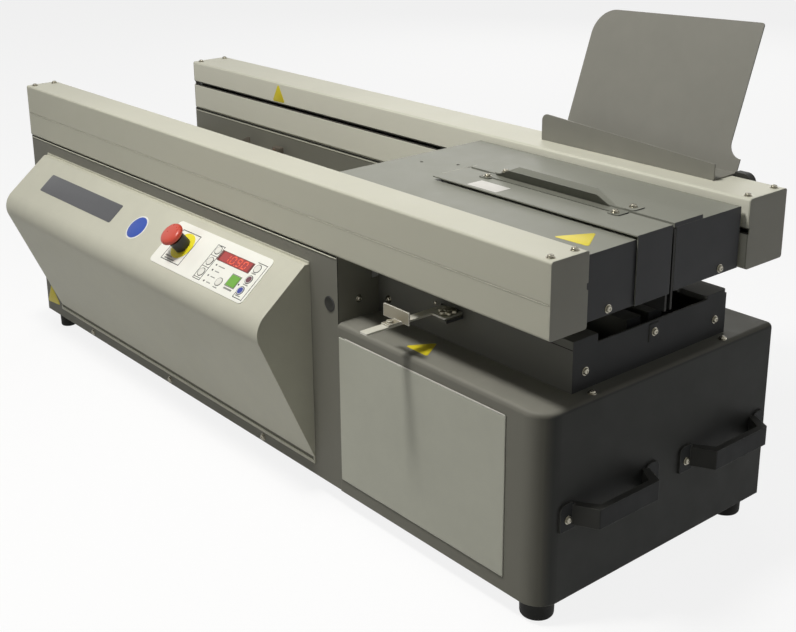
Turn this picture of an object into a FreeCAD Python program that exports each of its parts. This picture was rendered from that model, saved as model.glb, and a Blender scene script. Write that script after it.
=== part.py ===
"""Perfect binding machine: a clamp carriage on two rails over a glue tank, a mill and a nipper.

Millimetres. The machine is laid out from its left end (x = 0), from the outer face of its
front rail (y = 0) and from the floor (z = 0). Every finished piece is then shifted so that
the origin is the bottom centre of the whole machine. The operator stands on the -Y side.
"""
import FreeCAD, Part
import Sketcher
import os
import re

from FreeCAD import Placement, Rotation, Vector

SIZES = {
    # overall
    "machine_length": 1540, "machine_depth": 510, "sheet": 2, "gap": 0.3, "seam": 0.8,
    "foot_height": 32, "foot_radius": 26, "foot_inset": 36, "left_foot_radius": 18,
    "left_foot_x": 45, "left_foot_y": 26,
    "body_length": 1092, "body_height": 406, "body_setback": 1.5,
    "base_length": 443, "base_height": 296, "base_corner": 36, "base_edge": 8,
    # rails
    "front_rail_width": 71, "back_rail_width": 91, "rail_height": 109, "rail_edge": 4,
    "rail_split": 58, "slot_drop": 44.5, "slot_height": 10,
    "beam_thickness": 10, "beam_clearance": 4, "rod_radius": 8, "rod_inset": 27, "block_clearance": 12,
    "lug_length": 14, "lug_inset": 10, "lug_above_rod": 18, "running": 0.05,
    # trough and stations
    "deck_drop": 160, "tank_left": 445, "tank_length": 250, "tank_width": 110, "tank_depth": 90,
    "tank_wall": 4, "tank_lip": 10, "tank_rim": 8, "tank_rim_thickness": 3, "deck_clearance": 1,
    "roller_radius": 45, "roller_length": 66, "roller_shaft": 6, "roller_nose": 30,
    "spine_y": 253.5, "spine_drop": 133, "station_clearance": 1.5,
    "mill_x": 925, "mill_radius": 60, "mill_thickness": 12, "mill_shaft": 8, "mill_teeth": 12,
    "mill_notch": 7, "mill_notch_depth": 6, "mill_hole_clearance": 4, "mill_bearing": 30,
    "mill_motor_radius": 45, "mill_motor_length": 120, "mill_flange": 150, "mill_flange_thickness": 8,
    # console and its panel
    "console_left": 74.5, "console_length": 946, "console_drop": 30.5, "console_height": 346,
    "console_reach": 115, "console_ledge": 10, "nose_drop": 86, "nose_radius": 40,
    "console_wall": 3.15, "console_flange": 9, "console_groove": 5, "console_web": 3,
    "overlay_left": 659, "overlay_top": 12.5, "overlay_length": 294.5, "overlay_height": 92,
    "overlay_corner": 9, "overlay_thickness": 1,
    "estop_x": 716.5, "estop_s": 55.1, "estop_head": 22.5, "estop_collar": 15.5, "estop_stem": 8,
    "estop_neck": 11, "estop_collar_height": 24, "estop_head_base": 30, "estop_head_height": 11.5,
    "disc_thickness": 0.8, "window_left": 823, "window_top": 32.4, "window_length": 94,
    "window_height": 19, "key_radius": 7.2, "key_gap": 0.3, "key_proud": 0.6, "key_depth": 1.6,
    "start_width": 24, "start_height": 21, "left_keys_x": 810, "left_keys_s": 36,
    "left_keys_pitch": 23.6, "right_keys_x": 930, "right_keys_s": 38, "right_keys_pitch": 22.8,
    "set_key_x": 867.7, "set_key_s": 86, "start_x": 899, "start_s": 74.7,
    # door and handles
    "door_left": 1096, "door_drop": 22, "door_width": 370, "door_height": 250,
    "door_thickness": 3, "door_proud": 1.5, "door_gap": 1, "pin_radius": 1.5, "pin_length": 3,
    "pin_inset": 12, "pin_setback": 3, "hinge_lug": 20, "hinge_strip": 8, "door_fold": 14,
    "handle_span": 180, "handle_first": 50, "handle_last": 21, "handle_drop": 386,
    "handle_reach": 38, "handle_height": 31, "handle_bar": 10, "handle_foot": 30,
    "handle_foot_height": 42, "handle_foot_plate": 4, "handle_foot_below": 17, "handle_grip_below": 11,
    "handle_shoulder": 20, "handle_root": 12, "handle_root_inset": 8,
    # cover-nipping station and its gauge
    "nip_length": 415, "nip_front": 84, "nip_depth": 341, "nip_drop": 155, "nip_wall": 3,
    "nip_rim": 50, "nip_block_rise": 6, "jaw_length": 360, "jaw_inset": 38, "nip_bar": 30,
    "nip_gap": 18, "nip_bar_drop": 150, "nip_ledge": 34, "nip_ledge_thickness": 5,
    "nip_ledge_side": 3, "nip_window_gap": 2, "nip_screw_inset": 26, "nip_screw_drop": 37,
    "nip_middle_screw_drop": 17, "nip_tap_depth": 20, "nip_block_corner": 6, "nip_front_rise": 12.8,
    "gauge_x": 1251, "gauge_drop": 165, "gauge_width": 16,
    "gauge_thickness": 3, "gauge_reach": 75, "gauge_tail": 28, "gauge_ear": 10, "gauge_ear_y": 50,
    "gauge_travel": 30, "screw_radius": 3, "knob_x": 1277, "knob_y": 64.5, "stop_y": 8, "stop_height": 20,
    "stop_left": 32.6, "stop_right": 25.2, "stop_foot": 26, "knob_radius": 15, "knob_height": 9,
    "knob_stud": 12,
    # carriage
    "carriage_left": 985, "carriage_length": 545, "carriage_gap": 3, "carriage_back_gap": 7,
    "carriage_drop": 11, "skirt_drop": 106, "slot_start": 1110, "frame_plate": 8,
    "arm_length": 60, "arm_thickness": 5, "arm_inset": 15, "right_arm_inset": 30,
    "frame_start": 5, "frame_end": 25, "frame_bridge": 100, "clip_length": 20, "clip_inset": 46,
    "rear_jaw_bar_height": 20, "post_width": 20, "post_depth": 18, "post_inset": 20, "slot_margin": 1,
    "beam_depth": 50, "front_beam_y": 80,
    "rear_beam_y": 276, "frame_back_gap": 8, "block_width": 34, "book_gap": 8,
    "jaw_plate": 4, "jaw_bar": 40, "jaw_bar_height": 42, "jaw_bar_drop": 30, "jaw_travel": 45,
    "push_rod": 7, "push_rod_length": 58, "push_rod_bore": 34, "push_rod_left": 60,
    "push_rod_right": 100, "actuator_radius": 15, "actuator_length": 25,
    "cover_rise": 6.5, "cover_left": 1122, "cover_front": 174, "cover_skirt_gap": 1.5,
    "cover_margin": 10, "cover_overlap": 8,
    "rear_plate_depth": 63, "guide_left": 1178, "guide_length": 276, "guide_flange": 17.5,
    "guide_sheet": 1.5, "wing_rise": 17, "wing_lean": 9, "wing_left_inset": 10,
    "wing_right_inset": 31, "front_left_taper": 42, "front_right_taper": 22,
    "rear_left_taper": 36, "rear_right_taper": 45, "guide_tab": 22, "guide_tab_depth": 27,
    "guide_tab_overhang": 4, "guide_tab_corner": 5, "front_guide_screw": 18, "rear_guide_screw": 14,
    "cover_screw_front": 50, "cover_screw_back": 43, "cover_screw_height": 9,
    "top_hole_radius": 3,
    # carriage drive
    "pulley_radius": 20, "pulley_width": 10, "pulley_inset": 50, "pulley_shaft": 5,
    "belt_thickness": 1.5, "motor_clearance": 1, "motor_width": 34, "motor_length": 38,
    "motor_inset": 8, "belt_clearance": 1.2, "idler_clearance": 2.2,
    # paper rest
    "rest_left": 1084, "rest_length": 360, "rest_setback": 49, "rest_floor": 57,
    "rest_sheet": 2, "rest_lean": 20, "rest_height": 238, "rest_plate_length": 336,
    "rest_corner": 46, "rest_notch": 24, "rest_top_slope": 10, "rest_small_corner": 5,
    "lip_left": 47, "lip_right": 26, "lip_corner": 12, "hinge_radius": 5,
    "hinge_drop": 8, "hinge_length": 30, "hinge_left": 30, "bracket_width": 16, "bracket_height": 28,
    "bracket_back": 4, "bracket_gap": 3, "strap_length": 30, "strap_depth": 14, "strap_above": 6,
    "strap_below": 14, "strap_corner": 15,
    # fasteners, electrics
    "screw_head": 5, "screw_head_height": 3.5, "washer_radius": 6.5, "washer_thickness": 1,
    "rail_screw_inset": 14, "rail_screw_side": 13, "pan_screw_height": 9, "pan_screw_left": 220,
    "pan_screw_pitch": 322, "base_screw_inset": 12, "base_screw_front": 108, "base_screw_back": 110,
    "post_screw_y": 44, "post_screw_drop": 188, "inlet_x": 140, "inlet_rise": 40, "inlet_border": 5,
    "inlet_width": 48, "inlet_height": 58, "inlet_depth": 24,
    "board_length": 180, "board_height": 120, "board_thickness": 1.6, "board_standoff": 10,
    "board_y": 160, "board_rise": 100,
    "board_leg": 3, "board_leg_inset": 8, "chip_length": 34, "chip_height": 40, "chip_depth": 12,
    "vent_left": 180, "vent_bank_pitch": 420, "vent_length": 140, "vent_height": 5,
    "vent_pitch": 16, "vent_drop": 60,
}

# heights and places that several pieces share
RAIL_BOTTOM = "(foot_height + body_height)"
RAIL_TOP = "(foot_height + body_height + rail_height)"
BASE_TOP = "(foot_height + base_height)"
BASE_END = "(body_length + base_length)"
DECK_TOP = f"({RAIL_TOP} - deck_drop)"
SPINE = f"({RAIL_TOP} - spine_drop)"
INNER_FRONT = "front_rail_width"
INNER_BACK = "(machine_depth - back_rail_width)"
BODY_FRONT = "body_setback"
CARRIAGE_END = "(carriage_left + carriage_length)"
CARRIAGE_TOP = f"({RAIL_TOP} - carriage_drop)"
CARRIAGE_FRONT = f"({INNER_FRONT} + carriage_gap)"
CARRIAGE_BACK = f"({INNER_BACK} - carriage_back_gap)"
REAR_BEAM_END = f"({CARRIAGE_BACK} - sheet - frame_back_gap)"
SKIRT_BOTTOM = f"({RAIL_TOP} - skirt_drop)"
ROD_Z = f"({RAIL_BOTTOM} + sheet + block_clearance + block_width / 2)"
BELT_Z = f"({ROD_Z} + rod_radius + motor_clearance + motor_width / 2)"
DRIVE_X = "(sheet + lug_length + pulley_radius + gap + belt_thickness + belt_clearance)"
IDLER_X = "(machine_length - sheet - lug_length - pulley_radius - gap - belt_thickness - idler_clearance)"
ARM_TOP = f"({RAIL_TOP} - slot_drop - slot_height / 2 + arm_thickness / 2)"
ARM_BOTTOM = f"({ARM_TOP} - arm_thickness)"
FRONT_JAW_FACE = "(spine_y - book_gap / 2)"
REAR_JAW_FACE = "(spine_y + book_gap / 2)"
COVER_TOP = f"({CARRIAGE_TOP} + cover_rise)"
NIP_TOP = f"({RAIL_TOP} - nip_drop)"
GAUGE_TOP = f"({RAIL_TOP} - gauge_drop)"
GAUGE_WIDE = "(knob_x + gauge_ear - gauge_x + gauge_width / 2)"
REST_FRONT = "(machine_depth - rest_setback)"
HINGE_Y = f"({REST_FRONT} + rest_floor)"
HINGE_Z = f"({RAIL_TOP} - hinge_drop)"
REST_Z = f"({RAIL_TOP} + gap)"
DOOR_LOW = f"({BASE_TOP} - door_drop - door_height)"
DOOR_TOP = f"({BASE_TOP} - door_drop)"
CONSOLE_TOP = f"({RAIL_BOTTOM} - console_drop)"
PANEL_SLOPE = "atan(nose_drop / (console_reach - console_ledge))"
UNDER_SLOPE = "atan((console_height - nose_drop) / console_reach)"
NOSE_FRONT = (
    f"({BODY_FRONT} - console_reach - nose_radius + nose_radius"
    f" * cos(({UNDER_SLOPE} - {PANEL_SLOPE}) / 2) / sin(({UNDER_SLOPE} + {PANEL_SLOPE}) / 2))"
)
REST_BACK = (
    f"({HINGE_Y} - rest_sheet * 0.4 + rest_height * sin(rest_lean) + rest_sheet * cos(rest_lean))"
)
HANDLE_STARTS = ("handle_first", "(machine_depth - handle_last - handle_span)")
DATUM_X = f"(({BASE_END} + handle_reach) / 2)"
DATUM_Y = f"(({NOSE_FRONT} + {REST_BACK}) / 2)"

TURN = {"x": Rotation(Vector(0, 1, 0), 90), "y": Rotation(Vector(1, 0, 0), -90), "z": Rotation()}
PLANE_ROLE = {"xy": "XY_Plane", "xz": "XZ_Plane", "yz": "YZ_Plane"}
AXES = "xyz"

doc = FreeCAD.newDocument("PerfectBinder")
pieces = []


# ---------------------------------------------------------------- drawing helpers

def make_sheet():
    """The spreadsheet that holds every driving dimension."""
    sheet = doc.addObject("Spreadsheet::Sheet", "Sizes")
    for row, (alias, number) in enumerate(SIZES.items(), start=1):
        sheet.set(f"A{row}", alias)
        sheet.set(f"B{row}", str(number))
        sheet.setAlias(f"B{row}", alias)
    doc.recompute()


def formula(text):
    """Write a size formula with each alias pointing into the spreadsheet."""
    return re.sub(r"[a-z]\w*", lambda word: f"Sizes.{word[0]}" if word[0] in SIZES else word[0], text)


def bind(item, prop, text):
    item.setExpression(prop, formula(str(text)))


def place(item, at):
    for axis, text in zip(AXES, at):
        bind(item, f"Placement.Base.{axis}", text)
    return item


def box(at, size):
    solid = doc.addObject("Part::Box", "Box")
    for prop, text in zip(("Length", "Width", "Height"), size):
        bind(solid, prop, text)
    return place(solid, at)


def rod(at, radius, length, along="z"):
    """A cylinder from its end centre `at`, running towards + along its axis."""
    solid = doc.addObject("Part::Cylinder", "Rod")
    solid.Placement = Placement(Vector(), TURN[along])
    bind(solid, "Radius", radius)
    bind(solid, "Height", length)
    return place(solid, at)


def cone(at, low, high, length):
    solid = doc.addObject("Part::Cone", "Cone")
    bind(solid, "Radius1", low)
    bind(solid, "Radius2", high)
    bind(solid, "Height", length)
    return place(solid, at)


def cut(base, *tools):
    for tool in tools:
        result = doc.addObject("Part::Cut", "Cut")
        result.Base = base
        result.Tool = tool
        result.Refine = True
        base = result
    return base


def fuse(*solids):
    result = doc.addObject("Part::MultiFuse", "Fuse")
    result.Shapes = list(solids)
    result.Refine = True
    return result


def group(*solids):
    result = doc.addObject("Part::Compound", "Group")
    result.Links = list(solids)
    return result


def edges_of(shape, along, sides):
    """Names of the straight edges that run along one axis on the given sides, as in 'y-z+'."""
    bounds = shape.BoundBox
    middle = bounds.Center
    names = []
    for number, edge in enumerate(shape.Edges, start=1):
        span = edge.BoundBox
        lengths = (span.XLength, span.YLength, span.ZLength)
        runs_along = AXES[max(range(3), key=lambda k: lengths[k])] == along
        straight = sorted(lengths)[1] < 1e-6
        wanted = straight and runs_along
        for axis, sign in zip(sides[0::2], sides[1::2]):
            k = AXES.index(axis)
            wanted = wanted and (span.Center[k] - middle[k]) * float(sign + "1") > 0
        if wanted:
            names.append(f"Edge{number}")
    return names


def round_off(body, feature, along, sides, radius):
    """Add a fillet to a body on the edges along one axis at the named sides."""
    doc.recompute()
    fillet = body.newObject("PartDesign::Fillet", "Round")
    fillet.Base = (feature, edges_of(feature.Shape, along, sides))
    bind(fillet, "Radius", radius)
    body.Tip = fillet
    return fillet


def rounded_box(at, size, *rounds):
    """A box with rounded edges; each round is (along, sides, radius)."""
    body = doc.addObject("PartDesign::Body", "RoundedBox")
    feature = body.newObject("PartDesign::AdditiveBox", "Block")
    for prop, text in zip(("Length", "Width", "Height"), size):
        bind(feature, prop, text)
    for along, sides, radius in rounds:
        feature = round_off(body, feature, along, sides, radius)
    return place(body, at)


def domed_disc(at, radius, height, dome, foot):
    """A disc with its top edge rounded by `dome` and its bottom edge by `foot`."""
    body = doc.addObject("PartDesign::Body", "DomedDisc")
    disc = body.newObject("PartDesign::AdditiveCylinder", "Disc")
    bind(disc, "Radius", radius)
    bind(disc, "Height", height)
    feature = disc
    for top, size in ((True, dome), (False, foot)):
        doc.recompute()
        rims = []
        for number, edge in enumerate(feature.Shape.Edges, start=1):
            flat = edge.BoundBox.ZLength < 1e-6
            high = edge.BoundBox.ZMax > feature.Shape.BoundBox.Center.z
            if flat and high == top:
                rims.append(f"Edge{number}")
        fillet = body.newObject("PartDesign::Fillet", "Round")
        fillet.Base = (feature, rims)
        bind(fillet, "Radius", size)
        body.Tip = fillet
        feature = fillet
    return place(body, at)


def extrusion(plane, outline, length, at=("0", "0", "0"), rounds=()):
    """Pad a closed outline, given as pairs of formulas, drawn on one of the body's own planes."""
    body = doc.addObject("PartDesign::Body", "Profile")
    sketch = body.newObject("Sketcher::SketchObject", "Outline")
    origin_plane = [f for f in body.Origin.OriginFeatures if f.Role == PLANE_ROLE[plane]][0]
    sketch.AttachmentSupport = (origin_plane, "")
    sketch.MapMode = "FlatFace"
    count = len(outline)
    spoke = [Rotation(Vector(0, 0, 1), 360 * i / count).multVec(Vector(10, 0, 0)) for i in range(count)]
    for i in range(count):
        sketch.addGeometry(Part.LineSegment(spoke[i], spoke[(i + 1) % count]), False)
    for i in range(count):
        sketch.addConstraint(Sketcher.Constraint("Coincident", i, 2, (i + 1) % count, 1))
    for i, point in enumerate(outline):
        for kind, text in zip(("DistanceX", "DistanceY"), point):
            number = sketch.addConstraint(Sketcher.Constraint(kind, i, 1, 1.0))
            bind(sketch, f"Constraints[{number}]", text)
    pad = body.newObject("PartDesign::Pad", "Pad")
    pad.Profile = sketch
    pad.Reversed = plane == "xz"
    bind(pad, "Length", length)
    feature = pad
    for along, sides, radius in rounds:
        feature = round_off(body, feature, along, sides, radius)
    return place(body, at)


def on_panel(*solids):
    """Stand solids on the console's sloping face: y runs up the slope, z straight out of it."""
    result = group(*solids)
    result.Placement = Placement(Vector(), Rotation(Vector(1, 0, 0), 30))
    bind(result, "Placement.Rotation.Angle", PANEL_SLOPE)
    return place(result, ("0", f"({BODY_FRONT} - console_ledge)", CONSOLE_TOP))


def piece(label, *solids):
    """A finished sub-part, shifted to the machine's datum."""
    result = group(*solids)
    result.Label = label
    pieces.append(result)
    return place(result, (f"-{DATUM_X}", f"-{DATUM_Y}", "0"))


def low_y(side, inset, width):
    """Low y of something `inset` mm outward from a rail's inner face and `width` mm wide."""
    if side == "front":
        return f"({INNER_FRONT} - ({inset}) - ({width}))"
    return f"({INNER_BACK} + ({inset}))"


def rail_width(side):
    return f"{side}_rail_width"


def rail_y(side):
    return "0" if side == "front" else INNER_BACK


def screw(at, along="z", sign=1):
    """A pan-head screw with its washer, standing on a face; sign -1 points it backwards."""
    x, y, z = at
    start = {"x": x, "y": y, "z": z}[along]
    low = start if sign > 0 else f"({start} - washer_thickness)"
    head_low = f"({start} + washer_thickness)"
    if sign < 0:
        head_low = f"({low} - screw_head_height)"
    spots = []
    for value in (low, head_low):
        spot = {"x": x, "y": y, "z": z}
        spot[along] = value
        spots.append((spot["x"], spot["y"], spot["z"]))
    washer = rod(spots[0], "washer_radius", "washer_thickness", along)
    head = rod(spots[1], "screw_head", "screw_head_height", along)
    return fuse(washer, head)


# ---------------------------------------------------------------- housings

def bottom_pan():
    inset = "(sheet + gap)"
    return piece("bottom_pan", rounded_box(
        (inset, f"({BODY_FRONT} + sheet + gap)", "foot_height"),
        (f"{BASE_END} - 2 * {inset}", f"machine_depth - {BODY_FRONT} - 2 * {inset}", "sheet"),
        ("z", "x+y-", f"base_corner - {inset}")))


def rubber_feet():
    """Two narrow feet under the left end and two wide ones under the loading end."""
    feet = []
    for x, y, radius in (("left_foot_x", "left_foot_y", "left_foot_radius"),
                         (f"{BASE_END} - foot_inset", "foot_inset", "foot_radius")):
        for place_y in (y, f"machine_depth - {y}"):
            feet.append(cone((x, place_y, "0"), f"{radius} * 0.92", radius, "foot_height"))
    return piece("rubber_feet", *feet)


def body_front_panel():
    return piece("body_front_panel", box(("0", BODY_FRONT, "foot_height"),
                                         ("body_length", "sheet", "body_height")))


def body_back_panel():
    panel = box(("0", "machine_depth - sheet", "foot_height"), ("body_length", "sheet", "body_height"))
    slots = []
    for bank in range(2):
        for row in range(7):
            slots.append(box((f"vent_left + {bank} * vent_bank_pitch", "machine_depth - sheet * 2",
                              f"{RAIL_BOTTOM} - vent_drop - {row} * vent_pitch"),
                             ("vent_length", "sheet * 3", "vent_height")))
    hole = box(("inlet_x - inlet_width / 2", "machine_depth - sheet * 2", "foot_height + inlet_rise"),
               ("inlet_width", "sheet * 3", "inlet_height"))
    return piece("body_back_panel", cut(panel, group(*slots), hole))


def end_wall(x):
    """A cross wall with the trough's notch in its top edge."""
    inset = f"({BODY_FRONT} + sheet)"
    wall = box((x, inset, "foot_height + sheet"),
               ("sheet", f"machine_depth - {inset} - sheet", "body_height - sheet"))
    notch = box((f"{x} - sheet", f"{INNER_FRONT} - sheet", f"{DECK_TOP} - sheet"),
                ("3 * sheet", f"{INNER_BACK} - {INNER_FRONT} + 2 * sheet", "deck_drop"))
    return cut(wall, notch)


def left_end_panel():
    return piece("left_end_panel", end_wall("0"))


def centre_wall():
    return piece("centre_wall", end_wall("(body_length - sheet)"))


def trough_deck():
    """The trough between the rails: a floor with two standing sides, open over the stations."""
    width = f"({INNER_BACK} - {INNER_FRONT} + 2 * sheet)"
    low = f"({DECK_TOP} - sheet)"
    height = f"({RAIL_BOTTOM} - {low})"
    tray = box(("0", f"{INNER_FRONT} - sheet", low), ("body_length", width, height))
    hollow = box(("-sheet", INNER_FRONT, DECK_TOP),
                 ("body_length + 2 * sheet", f"{INNER_BACK} - {INNER_FRONT}", "deck_drop"))
    tank_hole = box(
        ("tank_left - deck_clearance", "spine_y - tank_width / 2 - deck_clearance", f"{low} - sheet"),
        ("tank_length + 2 * deck_clearance", "tank_width + 2 * deck_clearance", "4 * sheet"))
    mill_hole = rod(("mill_x", "spine_y", f"{low} - sheet"), "mill_radius + mill_hole_clearance",
                    "4 * sheet")
    return piece("trough_deck", cut(tray, hollow, tank_hole, mill_hole))


def base_cover():
    """The low housing under the loading end, rounded at its front corner, with a door opening."""
    outer = rounded_box(
        ("body_length", "0", "foot_height"), ("base_length", "machine_depth", "base_height"),
        ("z", "x+y-", "base_corner"), ("x", "y-z+", "base_edge"))
    inner = rounded_box(
        ("body_length - sheet", "sheet", "foot_height - sheet"),
        ("base_length", "machine_depth - 2 * sheet", "base_height"),
        ("z", "x+y-", "base_corner - sheet"), ("x", "y-z+", "base_edge - sheet"))
    opening = box(
        ("door_left - door_gap", "-sheet", f"{DOOR_LOW} - door_gap"),
        ("door_width + 2 * door_gap", "3 * sheet", "door_height + 2 * door_gap"))
    folds = []
    bores = []
    for z, bore_z in ((DOOR_TOP + " + door_gap", DOOR_TOP), (f"{DOOR_LOW} - door_gap - sheet",
                                                             f"{DOOR_LOW} - door_gap - sheet - 2")):
        folds.append(box(("door_left - door_gap", "0", z),
                         ("door_width + 2 * door_gap", "door_fold", "sheet")))
        bores.append(rod(("door_left + pin_inset", "pin_setback", bore_z), "pin_radius + running",
                         "sheet + door_gap + 3"))
    return piece("base_cover", cut(fuse(cut(outer, inner, opening), *folds), *bores))


def door_panel():
    """The door, with a hinge lug and a pin at its top and bottom that turn in the frame's folds."""
    panel = rounded_box(("door_left", "-door_proud", DOOR_LOW),
                        ("door_width", "door_thickness", "door_height"), ("z", "y-", "1"))
    back = "(door_thickness - door_proud)"
    solids = [panel]
    for lug_z, pin_z in ((f"{DOOR_TOP} - hinge_lug", f"{DOOR_TOP} - 2"),
                         (DOOR_LOW, f"{DOOR_LOW} - pin_length")):
        solids.append(box(("door_left + pin_inset - hinge_strip / 2", f"{back} - 1", lug_z),
                          ("hinge_strip", f"pin_setback + pin_radius * 2 - {back} + 1", "hinge_lug")))
        solids.append(rod(("door_left + pin_inset", "pin_setback", pin_z), "pin_radius",
                          "pin_length + 2"))
    return piece("door_panel", fuse(*solids))


# ---------------------------------------------------------------- console

def console_outline(shift, drop="0"):
    """Section of the console: a narrow flat top, the sloping face, the nose and the under side."""
    low = f"({CONSOLE_TOP} - console_height)"
    run = f"({drop} * (console_reach - console_ledge) / nose_drop)"
    return [(shift, f"({CONSOLE_TOP} - {drop})"), (shift, low),
            (f"{shift} - console_reach", f"{CONSOLE_TOP} - nose_drop"),
            (f"{shift} - console_ledge - {run}", f"({CONSOLE_TOP} - {drop})")]


def console_shell():
    outer = extrusion("yz", console_outline(BODY_FRONT), "console_length", ("console_left", "0", "0"),
                      [("x", "y-", "nose_radius")])
    inner = extrusion("yz", console_outline(f"({BODY_FRONT} + console_wall)", "sheet"),
                      "console_length - 2 * sheet", ("console_left + sheet", "0", "0"),
                      [("x", "y-", "nose_radius - sheet")])
    low = f"({CONSOLE_TOP} - console_height)"
    lower_flange = box(("console_left", f"{BODY_FRONT} - sheet", f"{low} - console_flange"),
                       ("console_length", "sheet", "console_flange + sheet"))
    upper_flange = box(("console_left", f"{BODY_FRONT} - sheet", f"{CONSOLE_TOP} - sheet"),
                       ("console_length", "sheet", "sheet * 3"))
    groove = box(("console_left + console_web", f"{BODY_FRONT} - 2 * sheet",
                  f"{low} + sheet - console_groove"),
                 ("console_length - 2 * console_web", "2 * sheet + 1", "console_groove"))
    window = box(("left_keys_x - 14", "-overlay_top - overlay_height + 5", "-20"),
                 ("right_keys_x - left_keys_x + 28", "overlay_height - 14", "40"))
    neck = rod(("estop_x", "-estop_s", "-20"), "estop_neck + gap", "40")
    shell = cut(fuse(outer, lower_flange, upper_flange), inner, groove, on_panel(window, neck))
    return piece("console_shell", shell)


def round_keys():
    """Name, place along the panel and place down its slope of each round key."""
    keys = []
    for number, name in enumerate(("key_count", "key_mode", "key_heat")):
        keys.append((name, "left_keys_x", f"(left_keys_s + {number} * left_keys_pitch)"))
    for number, name in enumerate(("key_select", "key_stop", "key_reset")):
        keys.append((name, "right_keys_x", f"(right_keys_s + {number} * right_keys_pitch)"))
    keys.append(("key_set", "set_key_x", "set_key_s"))
    return keys


def key_start_block(grow, low, height):
    return box((f"start_x - start_width / 2 - {grow}", f"-start_s - start_height / 2 - {grow}", low),
               (f"start_width + 2 * {grow}", f"start_height + 2 * {grow}", height))


def control_overlay():
    plate = rounded_box(("overlay_left", "-overlay_top - overlay_height", "0"),
                        ("overlay_length", "overlay_height", "overlay_thickness"),
                        ("z", "", "overlay_corner"))
    holes = [rod(("estop_x", "-estop_s", "-1"), "estop_neck + gap", "overlay_thickness + 2")]
    holes.append(box(("window_left", "-window_top - window_height", "-1"),
                     ("window_length", "window_height", "overlay_thickness + 2")))
    holes.append(key_start_block("key_gap", "-1", "overlay_thickness + 2"))
    for _, x, s in round_keys():
        holes.append(rod((x, f"-{s}", "-1"), "key_radius + key_gap", "overlay_thickness + 2"))
    return piece("control_overlay", on_panel(cut(plate, *holes)))


def keys():
    height = "key_depth + overlay_thickness + key_proud"
    for name, x, s in round_keys():
        piece(name, on_panel(rod((x, f"-{s}", "-key_depth"), "key_radius", height)))
    piece("key_start", on_panel(key_start_block("0", "-key_depth", height)))


def display_window():
    return piece("display_window", on_panel(box(
        ("window_left", "-window_top - window_height", "-2"),
        ("window_length", "window_height", "overlay_thickness + 2.3"))))


def emergency_stop():
    """The collar is screwed through the console face; the head and its stem slide in it."""
    foot = "(overlay_thickness + disc_thickness)"
    at = ("estop_x", "-estop_s")
    collar = rod((*at, foot), "estop_collar", f"estop_collar_height - {foot}")
    neck = rod((*at, "-14"), "estop_neck", "14 + estop_collar_height / 2")
    nut = rod((*at, "-sheet - 8"), "estop_neck + 5", "8")
    bore = rod((*at, "-20"), "estop_stem + gap", "estop_collar_height + 30")
    piece("estop_collar", on_panel(cut(fuse(collar, neck, nut), bore)))
    head = domed_disc((*at, "estop_head_base"), "estop_head", "estop_head_height", "5", "3")
    stem = rod((*at, "-8"), "estop_stem", "estop_head_base + 10")
    piece("estop_button", on_panel(fuse(head, stem)))


# ---------------------------------------------------------------- rails

def rail_covers(side):
    """Upper and lower folded covers; the slot for the carriage arms is left between them."""
    width = rail_width(side)
    length = "(machine_length - 2 * sheet)"
    y = rail_y(side)
    inner_wall = f"({INNER_FRONT} - sheet)" if side == "front" else INNER_BACK
    outer_wall = "0" if side == "front" else "(machine_depth - sheet)"
    upper = rounded_box(("sheet", y, f"{RAIL_TOP} - rail_split"), (length, width, "rail_split"),
                        ("x", "z+", "rail_edge"))
    upper_inside = rounded_box(("0", f"{y} + sheet", f"{RAIL_TOP} - rail_split - 1"),
                               ("machine_length", f"{width} - 2 * sheet", "rail_split + 1 - sheet"),
                               ("x", "z+", "rail_edge - sheet"))
    above_slot = box(("0", f"{inner_wall} - 1", f"{RAIL_TOP} - rail_split - 1"),
                     ("machine_length", "sheet + 2", "rail_split - slot_drop + 1"))
    piece(f"{side}_rail_upper", cut(upper, upper_inside, above_slot))
    lower_height = "(rail_height - slot_drop - slot_height)"
    lower = rounded_box(("sheet", y, RAIL_BOTTOM), (length, width, lower_height),
                        ("x", "z-", "rail_edge"))
    lower_inside = rounded_box(("0", f"{y} + sheet", f"{RAIL_BOTTOM} + sheet"),
                               ("machine_length", f"{width} - 2 * sheet", lower_height),
                               ("x", "z-", "rail_edge - sheet"))
    under_seam = box(("0", f"{outer_wall} - 1", f"{RAIL_TOP} - rail_split - seam"),
                     ("machine_length", "sheet + 2", "rail_split"))
    piece(f"{side}_rail_lower", cut(lower, lower_inside, under_seam))


def rail_end_caps():
    """One plate closes each rail end, notched where the slot runs out."""
    caps = []
    for side in ("front", "back"):
        inner_wall = f"({INNER_FRONT} - sheet)" if side == "front" else INNER_BACK
        for x in ("0", "(machine_length - sheet)"):
            cap = rounded_box((x, rail_y(side), RAIL_BOTTOM), ("sheet", rail_width(side), "rail_height"),
                              ("x", "", "rail_edge"))
            notch = box((f"{x} - 1", f"{inner_wall} - 1", f"{RAIL_TOP} - slot_drop - slot_height"),
                        ("sheet + 2", "sheet + 2", "slot_height"))
            caps.append(cut(cap, notch))
    return piece("rail_end_caps", *caps)


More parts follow.
